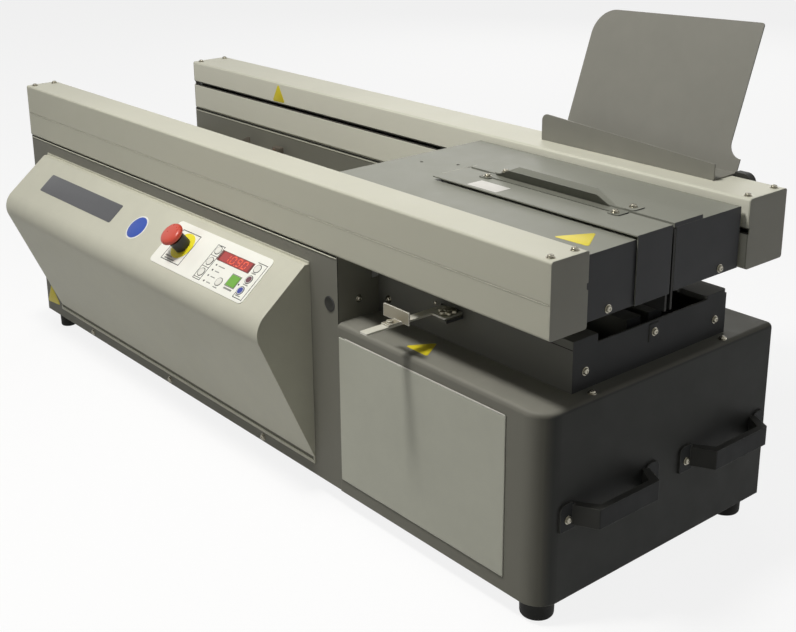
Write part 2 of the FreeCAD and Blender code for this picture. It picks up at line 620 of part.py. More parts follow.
def rail_beams():
    """A flat beam in each rail with a lug at each end that holds the guide rod."""
    beams = []
    for side in ("front", "back"):
        width = rail_width(side)
        inset = f"({width} - beam_thickness - beam_clearance - sheet)"
        low = f"({RAIL_BOTTOM} + sheet)"
        solids = [box(("sheet", low_y(side, inset, "beam_thickness"), low),
                      ("machine_length - 2 * sheet", "beam_thickness", "rail_height - 2 * sheet - 14"))]
        for x in ("sheet", "(machine_length - sheet - lug_length)"):
            depth = f"({inset} - lug_inset)"
            solids.append(box((x, low_y(side, "lug_inset", depth), low),
                              ("lug_length", depth, f"{ROD_Z} + lug_above_rod - {low}")))
        if side == "back":
            solids.append(box(("sheet", low_y(side, "lug_inset", "0"), low),
                              (f"{DRIVE_X} - motor_width / 2 - sheet",
                               "motor_inset + motor_length - lug_inset",
                               f"{BELT_Z} + motor_width / 2 - {low}")))
            solids.append(rod((IDLER_X, low_y(side, "pulley_inset - 4", "0"), BELT_Z),
                              "pulley_shaft", f"{inset} - pulley_inset + 4", "y"))
        bore = rod(("0", low_y(side, "rod_inset", "0"), ROD_Z), "rod_radius",
                   "machine_length", "x")
        beams.append(cut(fuse(*solids), bore))
    return piece("rail_beams", *beams)


def guide_rods():
    rods = []
    for side in ("front", "back"):
        rods.append(rod(("sheet", low_y(side, "rod_inset", "0"), ROD_Z), "rod_radius",
                        "machine_length - 2 * sheet", "x"))
    return piece("guide_rods", *rods)


# ---------------------------------------------------------------- carriage drive

def drive_pulleys():
    y = low_y("back", "pulley_inset", "0")
    wheel = rod((DRIVE_X, y, BELT_Z), "pulley_radius", "pulley_width", "y")
    shaft = rod((DRIVE_X, low_y("back", "motor_inset + 10", "0"), BELT_Z), "pulley_shaft",
                "pulley_inset - motor_inset - 8", "y")
    piece("drive_pulley", fuse(wheel, shaft))
    idler = rod((IDLER_X, y, BELT_Z), "pulley_radius", "pulley_width", "y")
    bore = rod((IDLER_X, f"{y} - 1", BELT_Z), "pulley_shaft + running", "pulley_width + 2", "y")
    piece("idler_pulley", cut(idler, bore))


def drive_belt():
    y = low_y("back", "pulley_inset", "0")

    def loop(radius, low, width):
        ends = [rod((x, low, BELT_Z), radius, width, "y") for x in (DRIVE_X, IDLER_X)]
        middle = box((DRIVE_X, low, f"{BELT_Z} - {radius}"),
                     (f"{IDLER_X} - {DRIVE_X}", width, f"2 * {radius}"))
        return fuse(*ends, middle)

    outer = loop("(pulley_radius + gap + belt_thickness)", y, "pulley_width")
    inner = loop("(pulley_radius + gap)", f"({y} - 1)", "pulley_width + 2")
    return piece("drive_belt", cut(outer, inner))


def gear_motor(x, y, z):
    """A square gear motor with its shaft bore along y."""
    body = box((f"{x} - motor_width / 2", y, f"{z} - motor_width / 2"),
               ("motor_width", "motor_length", "motor_width"))
    return cut(body, rod((x, f"{y} - 1", z), "pulley_shaft + running", "motor_length + 2", "y"))


def roller_z():
    return f"({SPINE} - station_clearance - roller_radius)"


def drive_motors():
    carriage_motor = gear_motor(DRIVE_X, low_y("back", "motor_inset", "0"), BELT_Z)
    roller_motor = gear_motor("(tank_left + tank_length / 2)", "(spine_y + tank_width / 2)", roller_z())
    return piece("drive_motors", carriage_motor, roller_motor)


# ---------------------------------------------------------------- stations

def glue_tank():
    """An open tank hung by its rim in the deck, with a bore for the roller's shaft."""
    low_y_edge = "(spine_y - tank_width / 2)"
    low = f"({DECK_TOP} + tank_lip - tank_depth)"
    block = box(("tank_left", low_y_edge, low), ("tank_length", "tank_width", "tank_depth"))
    rim = box(("tank_left - tank_rim", f"{low_y_edge} - tank_rim", DECK_TOP),
              ("tank_length + 2 * tank_rim", "tank_width + 2 * tank_rim", "tank_rim_thickness"))
    hollow = box(("tank_left + tank_wall", f"{low_y_edge} + tank_wall", f"{low} + tank_wall"),
                 ("tank_length - 2 * tank_wall", "tank_width - 2 * tank_wall", "tank_depth"))
    bore = rod(("tank_left + tank_length / 2", f"{low_y_edge} - 1", roller_z()),
               "roller_shaft + running", "tank_width + 2", "y")
    return piece("glue_tank", cut(fuse(block, rim), hollow, bore))


def glue_roller():
    x = "(tank_left + tank_length / 2)"
    drum = rod((x, "spine_y - roller_length / 2", roller_z()), "roller_radius", "roller_length", "y")
    shaft = rod((x, "spine_y - tank_width / 2", roller_z()), "roller_shaft", "tank_width", "y")
    nose = rod((x, "spine_y + tank_width / 2 - 1", roller_z()), "pulley_shaft",
               "roller_nose", "y")
    return piece("glue_roller", fuse(drum, shaft, nose))


def mill():
    """A toothed disc that planes the spine, driven from below."""
    top = f"({SPINE} - station_clearance)"
    low = f"({top} - mill_thickness)"
    flange_low = f"({DECK_TOP} - sheet - mill_flange_thickness)"
    disc = rod(("mill_x", "spine_y", low), "mill_radius", "mill_thickness")
    shaft = rod(("mill_x", "spine_y", f"{flange_low} - mill_bearing"), "mill_shaft",
                f"{low} - {flange_low} + mill_bearing + 1")
    notches = []
    for tooth in range(SIZES["mill_teeth"]):
        notch = doc.addObject("Part::Box", "Notch")
        bind(notch, "Length", "mill_notch_depth + 4")
        bind(notch, "Width", "mill_notch")
        bind(notch, "Height", "mill_thickness + 2")
        angle = 360 * tooth / SIZES["mill_teeth"]
        notch.Placement = Placement(Vector(), Rotation(Vector(0, 0, 1), angle))
        place(notch, (f"mill_x + (mill_radius - mill_notch_depth) * cos({angle})",
                      f"spine_y + (mill_radius - mill_notch_depth) * sin({angle})", f"{low} - 1"))
        notches.append(notch)
    piece("mill_cutter", cut(fuse(disc, shaft), fuse(*notches)))
    flange = box(("mill_x - mill_flange / 2", "spine_y - mill_flange / 2", flange_low),
                 ("mill_flange", "mill_flange", "mill_flange_thickness"))
    can = rod(("mill_x", "spine_y", f"{flange_low} - mill_motor_length"), "mill_motor_radius",
              "mill_motor_length")
    bore = rod(("mill_x", "spine_y", f"{flange_low} - mill_bearing - 2"),
               "mill_shaft + running", "mill_bearing + mill_flange_thickness + 4")
    piece("mill_motor", cut(fuse(flange, can), bore))


def nip_housing():
    """The black cover station: a box open on top, with a rim in front and behind."""
    size = ("nip_length", "nip_depth", f"({NIP_TOP} - {BASE_TOP})")
    block = box(("body_length", "nip_front", BASE_TOP), size)
    hollow = box(("body_length - 1", "nip_front + nip_wall", f"{BASE_TOP} + nip_wall"),
                 ("nip_length + 1 - nip_wall", "nip_depth - 2 * nip_wall", f"{size[2]} - 2 * nip_wall"))
    recess = box(("body_length - 1", "nip_front + nip_rim", f"{NIP_TOP} - 2 * nip_wall"),
                 ("nip_length + 1 - nip_wall", "nip_depth - 2 * nip_rim", "4 * nip_wall"))
    raised = rounded_box(
        (f"body_length + nip_length - nip_rim", "nip_front + nip_depth - nip_rim", f"{NIP_TOP} - nip_wall"),
        ("nip_rim", "nip_rim", "nip_block_rise + nip_wall"), ("z", "x+", "nip_block_corner"))
    corner = box(("body_length + nip_length - nip_rim", "nip_front", f"{NIP_TOP} - nip_wall"),
                 ("nip_rim", "nip_rim", "nip_front_rise + nip_wall"))
    under = f"({GAUGE_TOP} - gauge_thickness)"
    ledge = box(("gauge_x - gauge_width / 2 - nip_ledge_side", "nip_front - nip_ledge",
                 f"{under} - gap - nip_ledge_thickness"),
                (f"{GAUGE_WIDE} + 2 * nip_ledge_side", "nip_ledge", "nip_ledge_thickness"))
    window = box(("gauge_x - gauge_width / 2 - nip_window_gap", "nip_front - 1",
                  f"{under} - nip_window_gap"),
                 (f"{GAUGE_WIDE} + 2 * nip_window_gap", "nip_wall + 2",
                  "gauge_thickness + 2 * nip_window_gap"))
    tap = rod(("knob_x", "knob_y", f"{GAUGE_TOP} - nip_tap_depth"), "screw_radius + running",
              "nip_tap_depth")
    return piece("nip_housing", cut(fuse(block, raised, corner, ledge), hollow, recess, window,
                                    tap))


def nip_plates():
    """Two bars that press the cover against the spine from the front and from behind."""
    low = f"({BASE_TOP} + nip_wall + gap)"
    size = ("jaw_length", "nip_bar", f"{RAIL_TOP} - nip_bar_drop - {low}")
    x = "body_length + jaw_inset"
    piece("nip_plate_front", box((x, "spine_y - nip_gap / 2 - nip_bar", low), size))
    piece("nip_plate_back", box((x, "spine_y + nip_gap / 2", low), size))


def gauge():
    """A bar that carries the cover stop. Its wide, slotted tail is held on the ledge by a star knob."""
    low = f"({GAUGE_TOP} - gauge_thickness)"
    bar = rounded_box(("gauge_x - gauge_width / 2", "-gauge_reach", low),
                      ("gauge_width", "gauge_reach + nip_front + gauge_tail", "gauge_thickness"),
                      ("z", "y-", "2"))
    tail = rounded_box(("gauge_x - gauge_width / 2", "gauge_ear_y", low),
                       (GAUGE_WIDE, "nip_front + gauge_tail - gauge_ear_y", "gauge_thickness"),
                       ("z", "x+", "4"))
    knob_slot = box(("knob_x - screw_radius - gap", "knob_y - screw_radius - gap", f"{low} - 1"),
                    ("2 * screw_radius + 2 * gap", "2 * screw_radius + gauge_travel + 2 * gap",
                     "gauge_thickness + 2"))
    piece("gauge_bar", cut(fuse(bar, tail), knob_slot))
    plate = rounded_box(("gauge_x - stop_left", "-stop_y - sheet", f"{GAUGE_TOP} + gap"),
                        ("stop_left + stop_right", "sheet", "stop_height"), ("y", "z+", "2"))
    foot = box(("gauge_x - gauge_width / 2", "-stop_y - stop_foot", f"{GAUGE_TOP} + gap"),
               ("gauge_width", "stop_foot - sheet / 2", "sheet"))
    head = rod(("gauge_x", "-stop_y - stop_foot * 0.65", f"{GAUGE_TOP} + gap + sheet"), "screw_head",
               "screw_head_height")
    piece("stop_plate", fuse(plate, foot, head))
    knob_low = f"({GAUGE_TOP} + gap)"
    hub = rod(("knob_x", "knob_y", knob_low), "knob_radius * 0.7", "knob_height")
    lobes = []
    for lobe in range(6):
        angle = 60 * lobe
        lobes.append(rod((f"knob_x + knob_radius * 0.68 * cos({angle})",
                          f"knob_y + knob_radius * 0.68 * sin({angle})", f"{knob_low} + 2"),
                         "knob_radius * 0.32", "knob_height - 3"))
    stud = rod(("knob_x", "knob_y", f"{GAUGE_TOP} - gauge_thickness - gap - 4"),
               "screw_radius", "knob_stud")
    piece("gauge_knob", fuse(hub, *lobes, stud))


# ---------------------------------------------------------------- carriage

def carriage_cover():
    """The carriage's top sheet with skirts, open over the book slot and the moving jaw."""
    low = SKIRT_BOTTOM
    size = ("carriage_length", f"{CARRIAGE_BACK} - {CARRIAGE_FRONT}", f"({CARRIAGE_TOP} - {low})")
    block = rounded_box(("carriage_left", CARRIAGE_FRONT, low), size, ("x", "z+", "2"))
    inside = box(("carriage_left + sheet", f"{CARRIAGE_FRONT} + sheet", f"{low} - 1"),
                 ("carriage_length - 2 * sheet", f"{CARRIAGE_BACK} - {CARRIAGE_FRONT} - 2 * sheet",
                  f"{size[2]} + 1 - sheet"))
    jaw_window = box(
        ("cover_left + cover_margin", "cover_front + cover_overlap", f"{CARRIAGE_TOP} - 2 * sheet"),
        (f"{CARRIAGE_END} - cover_left - 2 * cover_margin",
         f"{REAR_JAW_FACE} - cover_front - cover_overlap", "3 * sheet"))
    end_slot = box(
        (f"{CARRIAGE_END} - 2 * sheet",
         f"{FRONT_JAW_FACE} - jaw_plate - jaw_travel - slot_margin", f"{low} - 1"),
        ("3 * sheet", "book_gap + 2 * jaw_plate + jaw_travel + 2 * slot_margin", f"{size[2]} + 3"))
    slot_end = box((f"{CARRIAGE_END} - 3 * cover_margin", FRONT_JAW_FACE, f"{CARRIAGE_TOP} - 2 * sheet"),
                   ("4 * cover_margin", "book_gap", "3 * sheet"))
    holes = [rod((x, y, f"{CARRIAGE_TOP} - 2 * sheet"), "top_hole_radius", "3 * sheet")
             for x, y in (("carriage_left + 42", "spine_y - 20"), ("carriage_left + 97", "spine_y + 12"))]
    side_slots = []
    for side in ("front", "back"):
        wall = CARRIAGE_FRONT if side == "front" else f"({CARRIAGE_BACK} - sheet)"
        for x in arm_places():
            side_slots.append(box(
                (f"{x} - slot_margin", f"{wall} - 1", f"{ARM_BOTTOM} - slot_margin"),
                ("arm_length + 2 * slot_margin", "sheet + 2", "arm_thickness + 2 * slot_margin")))
    return piece("carriage_cover", cut(block, inside, jaw_window, end_slot, slot_end, *holes,
                                       *side_slots))


def arm_places():
    return ("(carriage_left + arm_inset)", f"({CARRIAGE_END} - right_arm_inset - arm_length)")


def carriage_frame():
    """A C-shaped frame: two beams joined at the left, with four arms into the rails."""
    beam_length = "(carriage_length - frame_start - frame_end)"
    top = f"({CARRIAGE_TOP} - sheet)"
    height = f"({top} - {ARM_BOTTOM})"
    x = "carriage_left + frame_start"
    solids = [
        box((x, "front_beam_y", ARM_BOTTOM), (beam_length, "beam_depth", height)),
        box((x, "rear_beam_y", ARM_BOTTOM), (beam_length, f"{REAR_BEAM_END} - rear_beam_y", height)),
        box((x, "front_beam_y", ARM_BOTTOM),
            ("frame_bridge", "rear_beam_y - front_beam_y + 10", "frame_plate")),
    ]
    reach = "(rod_inset + block_width / 2)"
    for x in arm_places():
        solids.append(box((x, low_y("front", reach, "0"), ARM_BOTTOM),
                          ("arm_length", f"front_beam_y - {low_y('front', reach, '0')} + 1",
                           "arm_thickness")))
        solids.append(box((x, f"{REAR_BEAM_END} - 1", ARM_BOTTOM),
                          ("arm_length", f"{low_y('back', reach, '0')} - {REAR_BEAM_END} + 1",
                           "arm_thickness")))
    solids.append(box((arm_places()[1], low_y("back", f"{reach} - 4", "0"), ARM_BOTTOM),
                      ("clip_length", f"pulley_inset + pulley_width - {reach} + 4", "arm_thickness")))
    clip_low = f"({BELT_Z} - pulley_radius)"
    solids.append(box((arm_places()[1], low_y("back", "clip_inset", "0"), clip_low),
                      ("clip_length", "pulley_inset + pulley_width - clip_inset",
                       f"{ARM_TOP} - {clip_low}")))
    bores = []
    for x in push_rod_places():
        bores.append(rod((x, "front_beam_y + beam_depth - push_rod_bore", rod_height()),
                         "push_rod + gap", "push_rod_bore + 2", "y"))
    return piece("carriage_frame", cut(fuse(*solids), *bores))


def push_rod_places():
    return ("(slot_start + push_rod_left)", f"({CARRIAGE_END} - push_rod_right)")


def rod_height():
    return f"({ARM_BOTTOM} + ({CARRIAGE_TOP} - sheet - {ARM_BOTTOM}) / 2)"


def bearing_blocks():
    """Four blocks under the arms' ends that run on the guide rods."""
    blocks = []
    for side in ("front", "back"):
        for x in arm_places():
            low = f"({ROD_Z} - block_width / 2)"
            block = box((x, low_y(side, "rod_inset - block_width / 2", "block_width"), low),
                        ("arm_length", "block_width", f"{ARM_BOTTOM} - {low}"))
            bore = rod((f"{x} - 1", low_y(side, "rod_inset", "0"), ROD_Z),
                       "rod_radius + running", "arm_length + 2", "x")
            blocks.append(cut(block, bore))
    return piece("bearing_blocks", *blocks)


def clamp_actuators():
    housings = []
    for x in push_rod_places():
        can = rod((x, "front_beam_y + beam_depth", rod_height()), "actuator_radius", "actuator_length", "y")
        bore = rod((x, "front_beam_y + beam_depth - 1", rod_height()), "push_rod + gap",
                   "actuator_length + 2", "y")
        housings.append(cut(can, bore))
    return piece("clamp_actuators", *housings)


def rear_jaw():
    """The fixed clamp plate, backed by a bar on the frame's rear beam."""
    plate = box(("slot_start", REAR_JAW_FACE, SPINE),
                (f"{CARRIAGE_END} - slot_start", "jaw_plate", f"spine_drop - carriage_drop - sheet"))
    bar = box(("slot_start + post_inset", f"{REAR_JAW_FACE} + jaw_plate", ARM_BOTTOM),
              ("jaw_length", f"rear_beam_y - {REAR_JAW_FACE} - jaw_plate", "rear_jaw_bar_height"))
    return piece("rear_jaw", fuse(plate, bar))


def front_jaw():
    """The moving clamp plate with its bar, its two push rods and the posts under its cover."""
    face = FRONT_JAW_FACE
    plate = box(("slot_start", f"{face} - jaw_plate", SPINE),
                (f"{CARRIAGE_END} - slot_start", "jaw_plate", "spine_drop - jaw_bar_drop"))
    bar_y = f"({face} - jaw_plate - jaw_bar)"
    bar_low = f"({RAIL_TOP} - jaw_bar_drop - jaw_bar_height)"
    bar = box(("slot_start + post_inset", bar_y, bar_low), ("jaw_length", "jaw_bar", "jaw_bar_height"))
    solids = [plate, bar]
    for x in push_rod_places():
        solids.append(rod((x, f"{bar_y} - push_rod_length", rod_height()), "push_rod",
                          "push_rod_length + 5", "y"))
    for x in ("slot_start + 2 * post_inset", "slot_start + jaw_length - post_width"):
        solids.append(box((x, f"{face} - jaw_plate - post_depth", f"{RAIL_TOP} - jaw_bar_drop - 1"),
                          ("post_width", "post_depth",
                           f"{COVER_TOP} - sheet - {RAIL_TOP} + jaw_bar_drop + 1")))
    return piece("front_jaw", fuse(*solids))


def jaw_cover():
    """The raised cover that rides over the carriage top with the moving jaw."""
    right = f"({CARRIAGE_END} + cover_skirt_gap + sheet)"
    top = box(("cover_left", "cover_front", f"{COVER_TOP} - sheet"),
              (f"{right} - cover_left", f"{FRONT_JAW_FACE} - cover_front", "sheet"))
    skirt = box((f"{right} - sheet", "cover_front + 2", SKIRT_BOTTOM),
                ("sheet", f"{FRONT_JAW_FACE} - cover_front - 2", f"{COVER_TOP} - {SKIRT_BOTTOM}"))
    return piece("jaw_cover", fuse(top, skirt))


def guide_outline(side):
    """Section of a book guide: a flat flange with a wing that leans away from the slot."""
    sign = "-" if side == "front" else "+"
    edge = FRONT_JAW_FACE if side == "front" else REAR_JAW_FACE
    low = COVER_TOP
    return [
        (f"{edge} {sign} guide_flange", low),
        (edge, low),
        (f"{edge} {sign} wing_lean", f"{low} + wing_rise"),
        (f"{edge} {sign} wing_lean {sign} guide_sheet", f"{low} + wing_rise"),
        (f"{edge} {sign} guide_sheet * 1.35", f"{low} + guide_sheet"),
        (f"{edge} {sign} guide_flange", f"{low} + guide_sheet"),
    ]


def guide(side):
    """A book guide with its wing tapered at both ends and a screw tab beyond each end."""
    sign = "-" if side == "front" else "+"
    edge = FRONT_JAW_FACE if side == "front" else REAR_JAW_FACE
    strip = extrusion("yz", guide_outline(side), "guide_length", ("guide_left", "0", "0"))
    ends = (("guide_left - 1", "guide_left + wing_left_inset", f"{side}_left_taper"),
            ("guide_left + guide_length + 1", "guide_left + guide_length - wing_right_inset",
             f"-{side}_right_taper"))
    low = f"({COVER_TOP} + guide_sheet)"
    high = f"({COVER_TOP} + guide_sheet + wing_rise)"
    tapers = []
    for outside, start, taper in ends:
        outline = [(outside, low), (start, low), (f"{start} + {taper}", high), (outside, high)]
        tapers.append(extrusion("xz", outline, "4 * guide_flange",
                                ("0", f"{edge} - 2 * guide_flange", "0")))
    tab_y = f"({edge} - guide_tab_depth)" if side == "front" else edge
    tabs = [rounded_box((x, tab_y, COVER_TOP), ("guide_tab", "guide_tab_depth", "guide_sheet"),
                        ("z", "", "guide_tab_corner"))
            for x in ("guide_left - guide_tab_overhang",
                      "guide_left + guide_length + guide_tab_overhang - guide_tab")]
    return fuse(cut(strip, *tapers), *tabs)


def front_guide_plate():
    return piece("front_guide_plate", guide("front"))


def rear_guide_plate():
    """The raised rear sheet with the rear wing."""
    base = box(("cover_left", REAR_JAW_FACE, CARRIAGE_TOP),
               (f"{CARRIAGE_END} - cover_left", "rear_plate_depth", "cover_rise"))
    return piece("rear_guide_plate", fuse(base, guide("rear")))


def screw_places():
    return ("guide_left + 8", "guide_left + guide_length - 9")


def carriage_screws():
    top = f"({COVER_TOP} + guide_sheet)"
    screws = [screw((x, f"{REAR_JAW_FACE} + rear_guide_screw", top)) for x in screw_places()]
    low = f"({SKIRT_BOTTOM} + cover_screw_height)"
    for y in (f"{CARRIAGE_FRONT} + cover_screw_front", f"{CARRIAGE_BACK} - cover_screw_back"):
        screws.append(screw((CARRIAGE_END, y, low), "x"))
    return piece("carriage_screws", *screws)


def jaw_screws():
    top = f"({COVER_TOP} + guide_sheet)"
    return piece("jaw_screws", *[screw((x, f"{FRONT_JAW_FACE} - front_guide_screw", top))
                                  for x in screw_places()])


# ---------------------------------------------------------------- paper rest

def paper_rest():
    """A folded sheet: a tapered front lip, a floor on the rail and a leaning back plate."""
    right = "(rest_left + rest_length)"
    floor = box(("rest_left", REST_FRONT, REST_Z), ("rest_length", "rest_floor", "rest_sheet"))
    lip = extrusion("xz", [("rest_left", REST_Z), (right, REST_Z), (right, f"{REST_Z} + lip_right"),
                           ("rest_left", f"{REST_Z} + lip_left")],
                    "rest_sheet", ("0", REST_FRONT, "0"), [("y", "x-z+", "lip_corner")])
    leaning = group(rest_plate())
    leaning.Placement = Placement(Vector(), Rotation(Vector(-1, 0, 0), 20))
    bind(leaning, "Placement.Rotation.Angle", "rest_lean")
    place(leaning, ("rest_left", f"{HINGE_Y} - rest_sheet * 0.4", REST_Z))
    return piece("paper_rest", fuse(floor, lip, leaning, *rest_knuckles()))


def rest_plate():
    """The back plate lying in its own plane, with its round corners and its right-hand step."""
    plate = extrusion("xz", [
        ("0", "0"), ("rest_length", "0"), ("rest_length", "rest_notch"),
        ("rest_plate_length", "rest_notch"), ("rest_plate_length", "rest_height"),
        ("0", "rest_height - rest_top_slope")],
        "rest_sheet", rounds=[("y", "x-z+", "rest_corner"), ("y", "x+z+", "rest_small_corner")])
    step = "(rest_length - rest_plate_length)"
    fill = box(("rest_plate_length", "0", "rest_notch"), (step, "rest_sheet", step))
    hollow = rod(("rest_length", "-1", f"rest_notch + {step}"), step, "rest_sheet + 2", "y")
    return fuse(plate, cut(fill, hollow))


def knuckle_places():
    return ("(rest_left + hinge_left)", "(rest_left + rest_length - hinge_length)")


def rest_knuckles():
    """Two hinge knuckles under the floor's rear edge, behind the rail."""
    knuckles = []
    for x in knuckle_places():
        tube = rod((x, HINGE_Y, HINGE_Z), "hinge_radius", "hinge_length", "x")
        web = box((x, f"{HINGE_Y} - 1.5", HINGE_Z), ("hinge_length", "3", "hinge_drop + gap + 1"))
        bore = rod((f"{x} - 1", HINGE_Y, HINGE_Z), "hinge_radius / 2 + running", "hinge_length + 2", "x")
        knuckles.append(cut(fuse(tube, web), bore))
    return knuckles


def rest_bracket():
    """Two brackets on the rail's back face that hold the rest's hinge pins."""
    left, right = knuckle_places()
    plate_x = f"({left} + hinge_length + gap)"
    plate = box((plate_x, "machine_depth", f"{HINGE_Z} + bracket_back - bracket_height"),
                ("bracket_width", "rest_floor - rest_setback + bracket_back",
                 "bracket_height"))
    strap_x = f"({right} + hinge_length + bracket_gap)"
    strap = rounded_box((strap_x, "machine_depth", f"{RAIL_TOP} - strap_below"),
                        ("strap_length", "strap_depth", "strap_above + strap_below"),
                        ("y", "x+z+", "strap_corner"))
    left_pin = rod((f"{left} + 2", HINGE_Y, HINGE_Z), "hinge_radius / 2", "hinge_length + gap + 2", "x")
    right_pin = rod((f"{right} + 2", HINGE_Y, HINGE_Z), "hinge_radius / 2",
                    "hinge_length + bracket_gap", "x")
    return piece("rest_bracket", fuse(plate, left_pin), fuse(strap, right_pin))


# ---------------------------------------------------------------- handles, fasteners, electrics

def carry_handles():
    """Two grips on the loading end; each foot is screwed to the base cover."""
    handles = []
    z = f"({RAIL_TOP} - handle_drop)"
    for start in HANDLE_STARTS:
        end = f"({start} + handle_span)"
        near = f"({start} + handle_foot / 2 - handle_root_inset)"
        far = f"({end} - handle_foot / 2 + handle_root_inset)"
        front = f"({BASE_END} + handle_reach)"
        inner = f"({BASE_END} + handle_reach - handle_bar)"
        outline = [
            (BASE_END, near),
            (front, f"{near} + handle_shoulder"),
            (front, f"{far} - handle_shoulder"),
            (BASE_END, far),
            (BASE_END, f"{far} - handle_root"),
            (inner, f"{far} - handle_shoulder - handle_root"),
            (inner, f"{near} + handle_shoulder + handle_root"),
            (BASE_END, f"{near} + handle_root"),
        ]
        grip = extrusion("xy", outline, "handle_height", ("0", "0", f"{z} - handle_grip_below"),
                         [("z", "x+", "3")])
        feet = []
        for y in (start, end):
            feet.append(rounded_box((BASE_END, f"{y} - handle_foot / 2", f"{z} - handle_foot_below"),
                                    ("handle_foot_plate", "handle_foot", "handle_foot_height"),
                                    ("x", "z+", "10")))
        handles.append(fuse(grip, *feet))
    return piece("carry_handles", *handles)


def case_screws():
    screws = []
    for x in ("rail_screw_inset", "machine_length - rail_screw_inset"):
        for side in ("front", "back"):
            for y in (f"{rail_y(side)} + rail_screw_side",
                      f"{rail_y(side)} + {rail_width(side)} - rail_screw_side"):
                screws.append(screw((x, y, RAIL_TOP)))
    for number in range(3):
        screws.append(screw((f"pan_screw_left + {number} * pan_screw_pitch", BODY_FRONT,
                             "foot_height + pan_screw_height"), "y", -1))
    for y in ("base_screw_front", "machine_depth - base_screw_back"):
        screws.append(screw((f"{BASE_END} - base_screw_inset", y, BASE_TOP)))
    screws += nip_housing_screws()
    screws.append(screw(("body_length", "post_screw_y", f"{RAIL_TOP} - post_screw_drop"), "x"))
    for start in HANDLE_STARTS:
        for end in ("0", "handle_span"):
            y = f"{start} + {end}"
            screws.append(screw((f"{BASE_END} + handle_foot_plate", y, f"{RAIL_TOP} - handle_drop"), "x"))
    return piece("case_screws", *screws)


def nip_housing_screws():
    end = "body_length + nip_length"
    low = f"({NIP_TOP} - nip_screw_drop)"
    return [
        screw((end, "nip_front + nip_screw_inset", low), "x"),
        screw((end, "nip_front + nip_depth - nip_screw_inset", low), "x"),
        screw((end, "nip_front + nip_depth / 2", f"{NIP_TOP} - nip_middle_screw_drop"), "x"),
        screw(("body_length + nip_screw_inset", "nip_front", low), "y", -1),
    ]


def mains_inlet():
    """The appliance inlet in the back panel; its mouth is open to the rear."""
    x = "(inlet_x - inlet_width / 2)"
    low = "(foot_height + inlet_rise)"
    flange = rounded_box((f"{x} - inlet_border", "machine_depth", f"{low} - inlet_border"),
                         ("inlet_width + 2 * inlet_border", "sheet", "inlet_height + 2 * inlet_border"),
                         ("y", "", "3"))
    well = box((x, "machine_depth - inlet_depth", low), ("inlet_width", "inlet_depth + 1", "inlet_height"))
    mouth = box((f"{x} + 2 * inlet_border", "machine_depth - inlet_depth + 4", f"{low} + 2 * inlet_border"),
                ("inlet_width - 4 * inlet_border", "inlet_depth + 2", "inlet_height * 0.38"))
    pins = [box((f"inlet_x + {offset} - 1", "machine_depth - inlet_depth",
                 f"{low} + 2 * inlet_border + 7"), ("2", "inlet_depth * 0.7", "8"))
            for offset in (-7, 0, 7)]
    return piece("mains_inlet", fuse(cut(fuse(flange, well), mouth), *pins))


def control_board():
    """The control board, on standoffs from the centre wall inside the base."""
    x = "(body_length + board_standoff)"
    z = "(foot_height + board_rise)"
    board = box((x, "board_y", z), ("board_thickness", "board_length", "board_height"))
    legs = []
    for y in ("board_leg_inset", "board_length - board_leg_inset"):
        for height in ("board_leg_inset", "board_height - board_leg_inset"):
            legs.append(rod(("body_length", f"board_y + {y}", f"{z} + {height}"), "board_leg",
                            "board_standoff", "x"))
    chips = []
    for number in range(3):
        y = f"board_y + (1 + {number}) * board_length / 4 - chip_length / 2"
        chips.append(box((f"{x} + board_thickness", y, f"{z} + board_height / 4"),
                         ("chip_depth", "chip_length", "chip_height")))
    return piece("control_board", fuse(board, *legs, *chips))


def build():
    make_sheet()
    for housing in (bottom_pan, rubber_feet, body_front_panel, body_back_panel, left_end_panel,
                    centre_wall, trough_deck, base_cover, door_panel):
        housing()
    for control in (console_shell, control_overlay, keys, display_window, emergency_stop):
        control()
    for side in ("front", "back"):
        rail_covers(side)
    for inner in (rail_end_caps, rail_beams, guide_rods, drive_pulleys, drive_belt, drive_motors,
                  glue_tank, glue_roller, mill, nip_housing, nip_plates, gauge):
        inner()
    for moving in (carriage_cover, carriage_frame, bearing_blocks, clamp_actuators, rear_jaw,
                   front_jaw, jaw_cover, front_guide_plate, rear_guide_plate, carriage_screws,
                   jaw_screws):
        moving()
    for last in (paper_rest, rest_bracket, carry_handles, case_screws, mains_inlet, control_board):
        last()
    doc.recompute()


def check():
    """Stop with a plain message if any object failed or any piece isn't sound."""
    for item in doc.Objects:
        if "Invalid" in item.State or "Error" in item.State:
            raise RuntimeError(f"{item.Label} failed: {item.State}")
    for item in pieces:
        if item.Shape.isNull() or not item.Shape.isValid() or not item.Shape.Solids:
            raise RuntimeError(f"{item.Label} has no valid solid")


def export():
    os.makedirs("parts", exist_ok=True)
    for item in pieces:
        item.Shape.exportStep(f"parts/{item.Label}.step")
        print(item.Label, len(item.Shape.Solids), round(item.Shape.Volume))
    print(len(pieces), "pieces")


build()
check()
export()
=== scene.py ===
"""Looks of the perfect binding machine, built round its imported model.

Machine millimetres: x from the rails' left end, y from the front rail's front face backwards,
z from the rails' top. at() turns them into the frame's metres, and panel() does the same for
the console's sloping face: x and distance down the slope. PANEL adds the height off it.
"""
import math

import bmesh
import bpy
from mathutils import Matrix, Vector


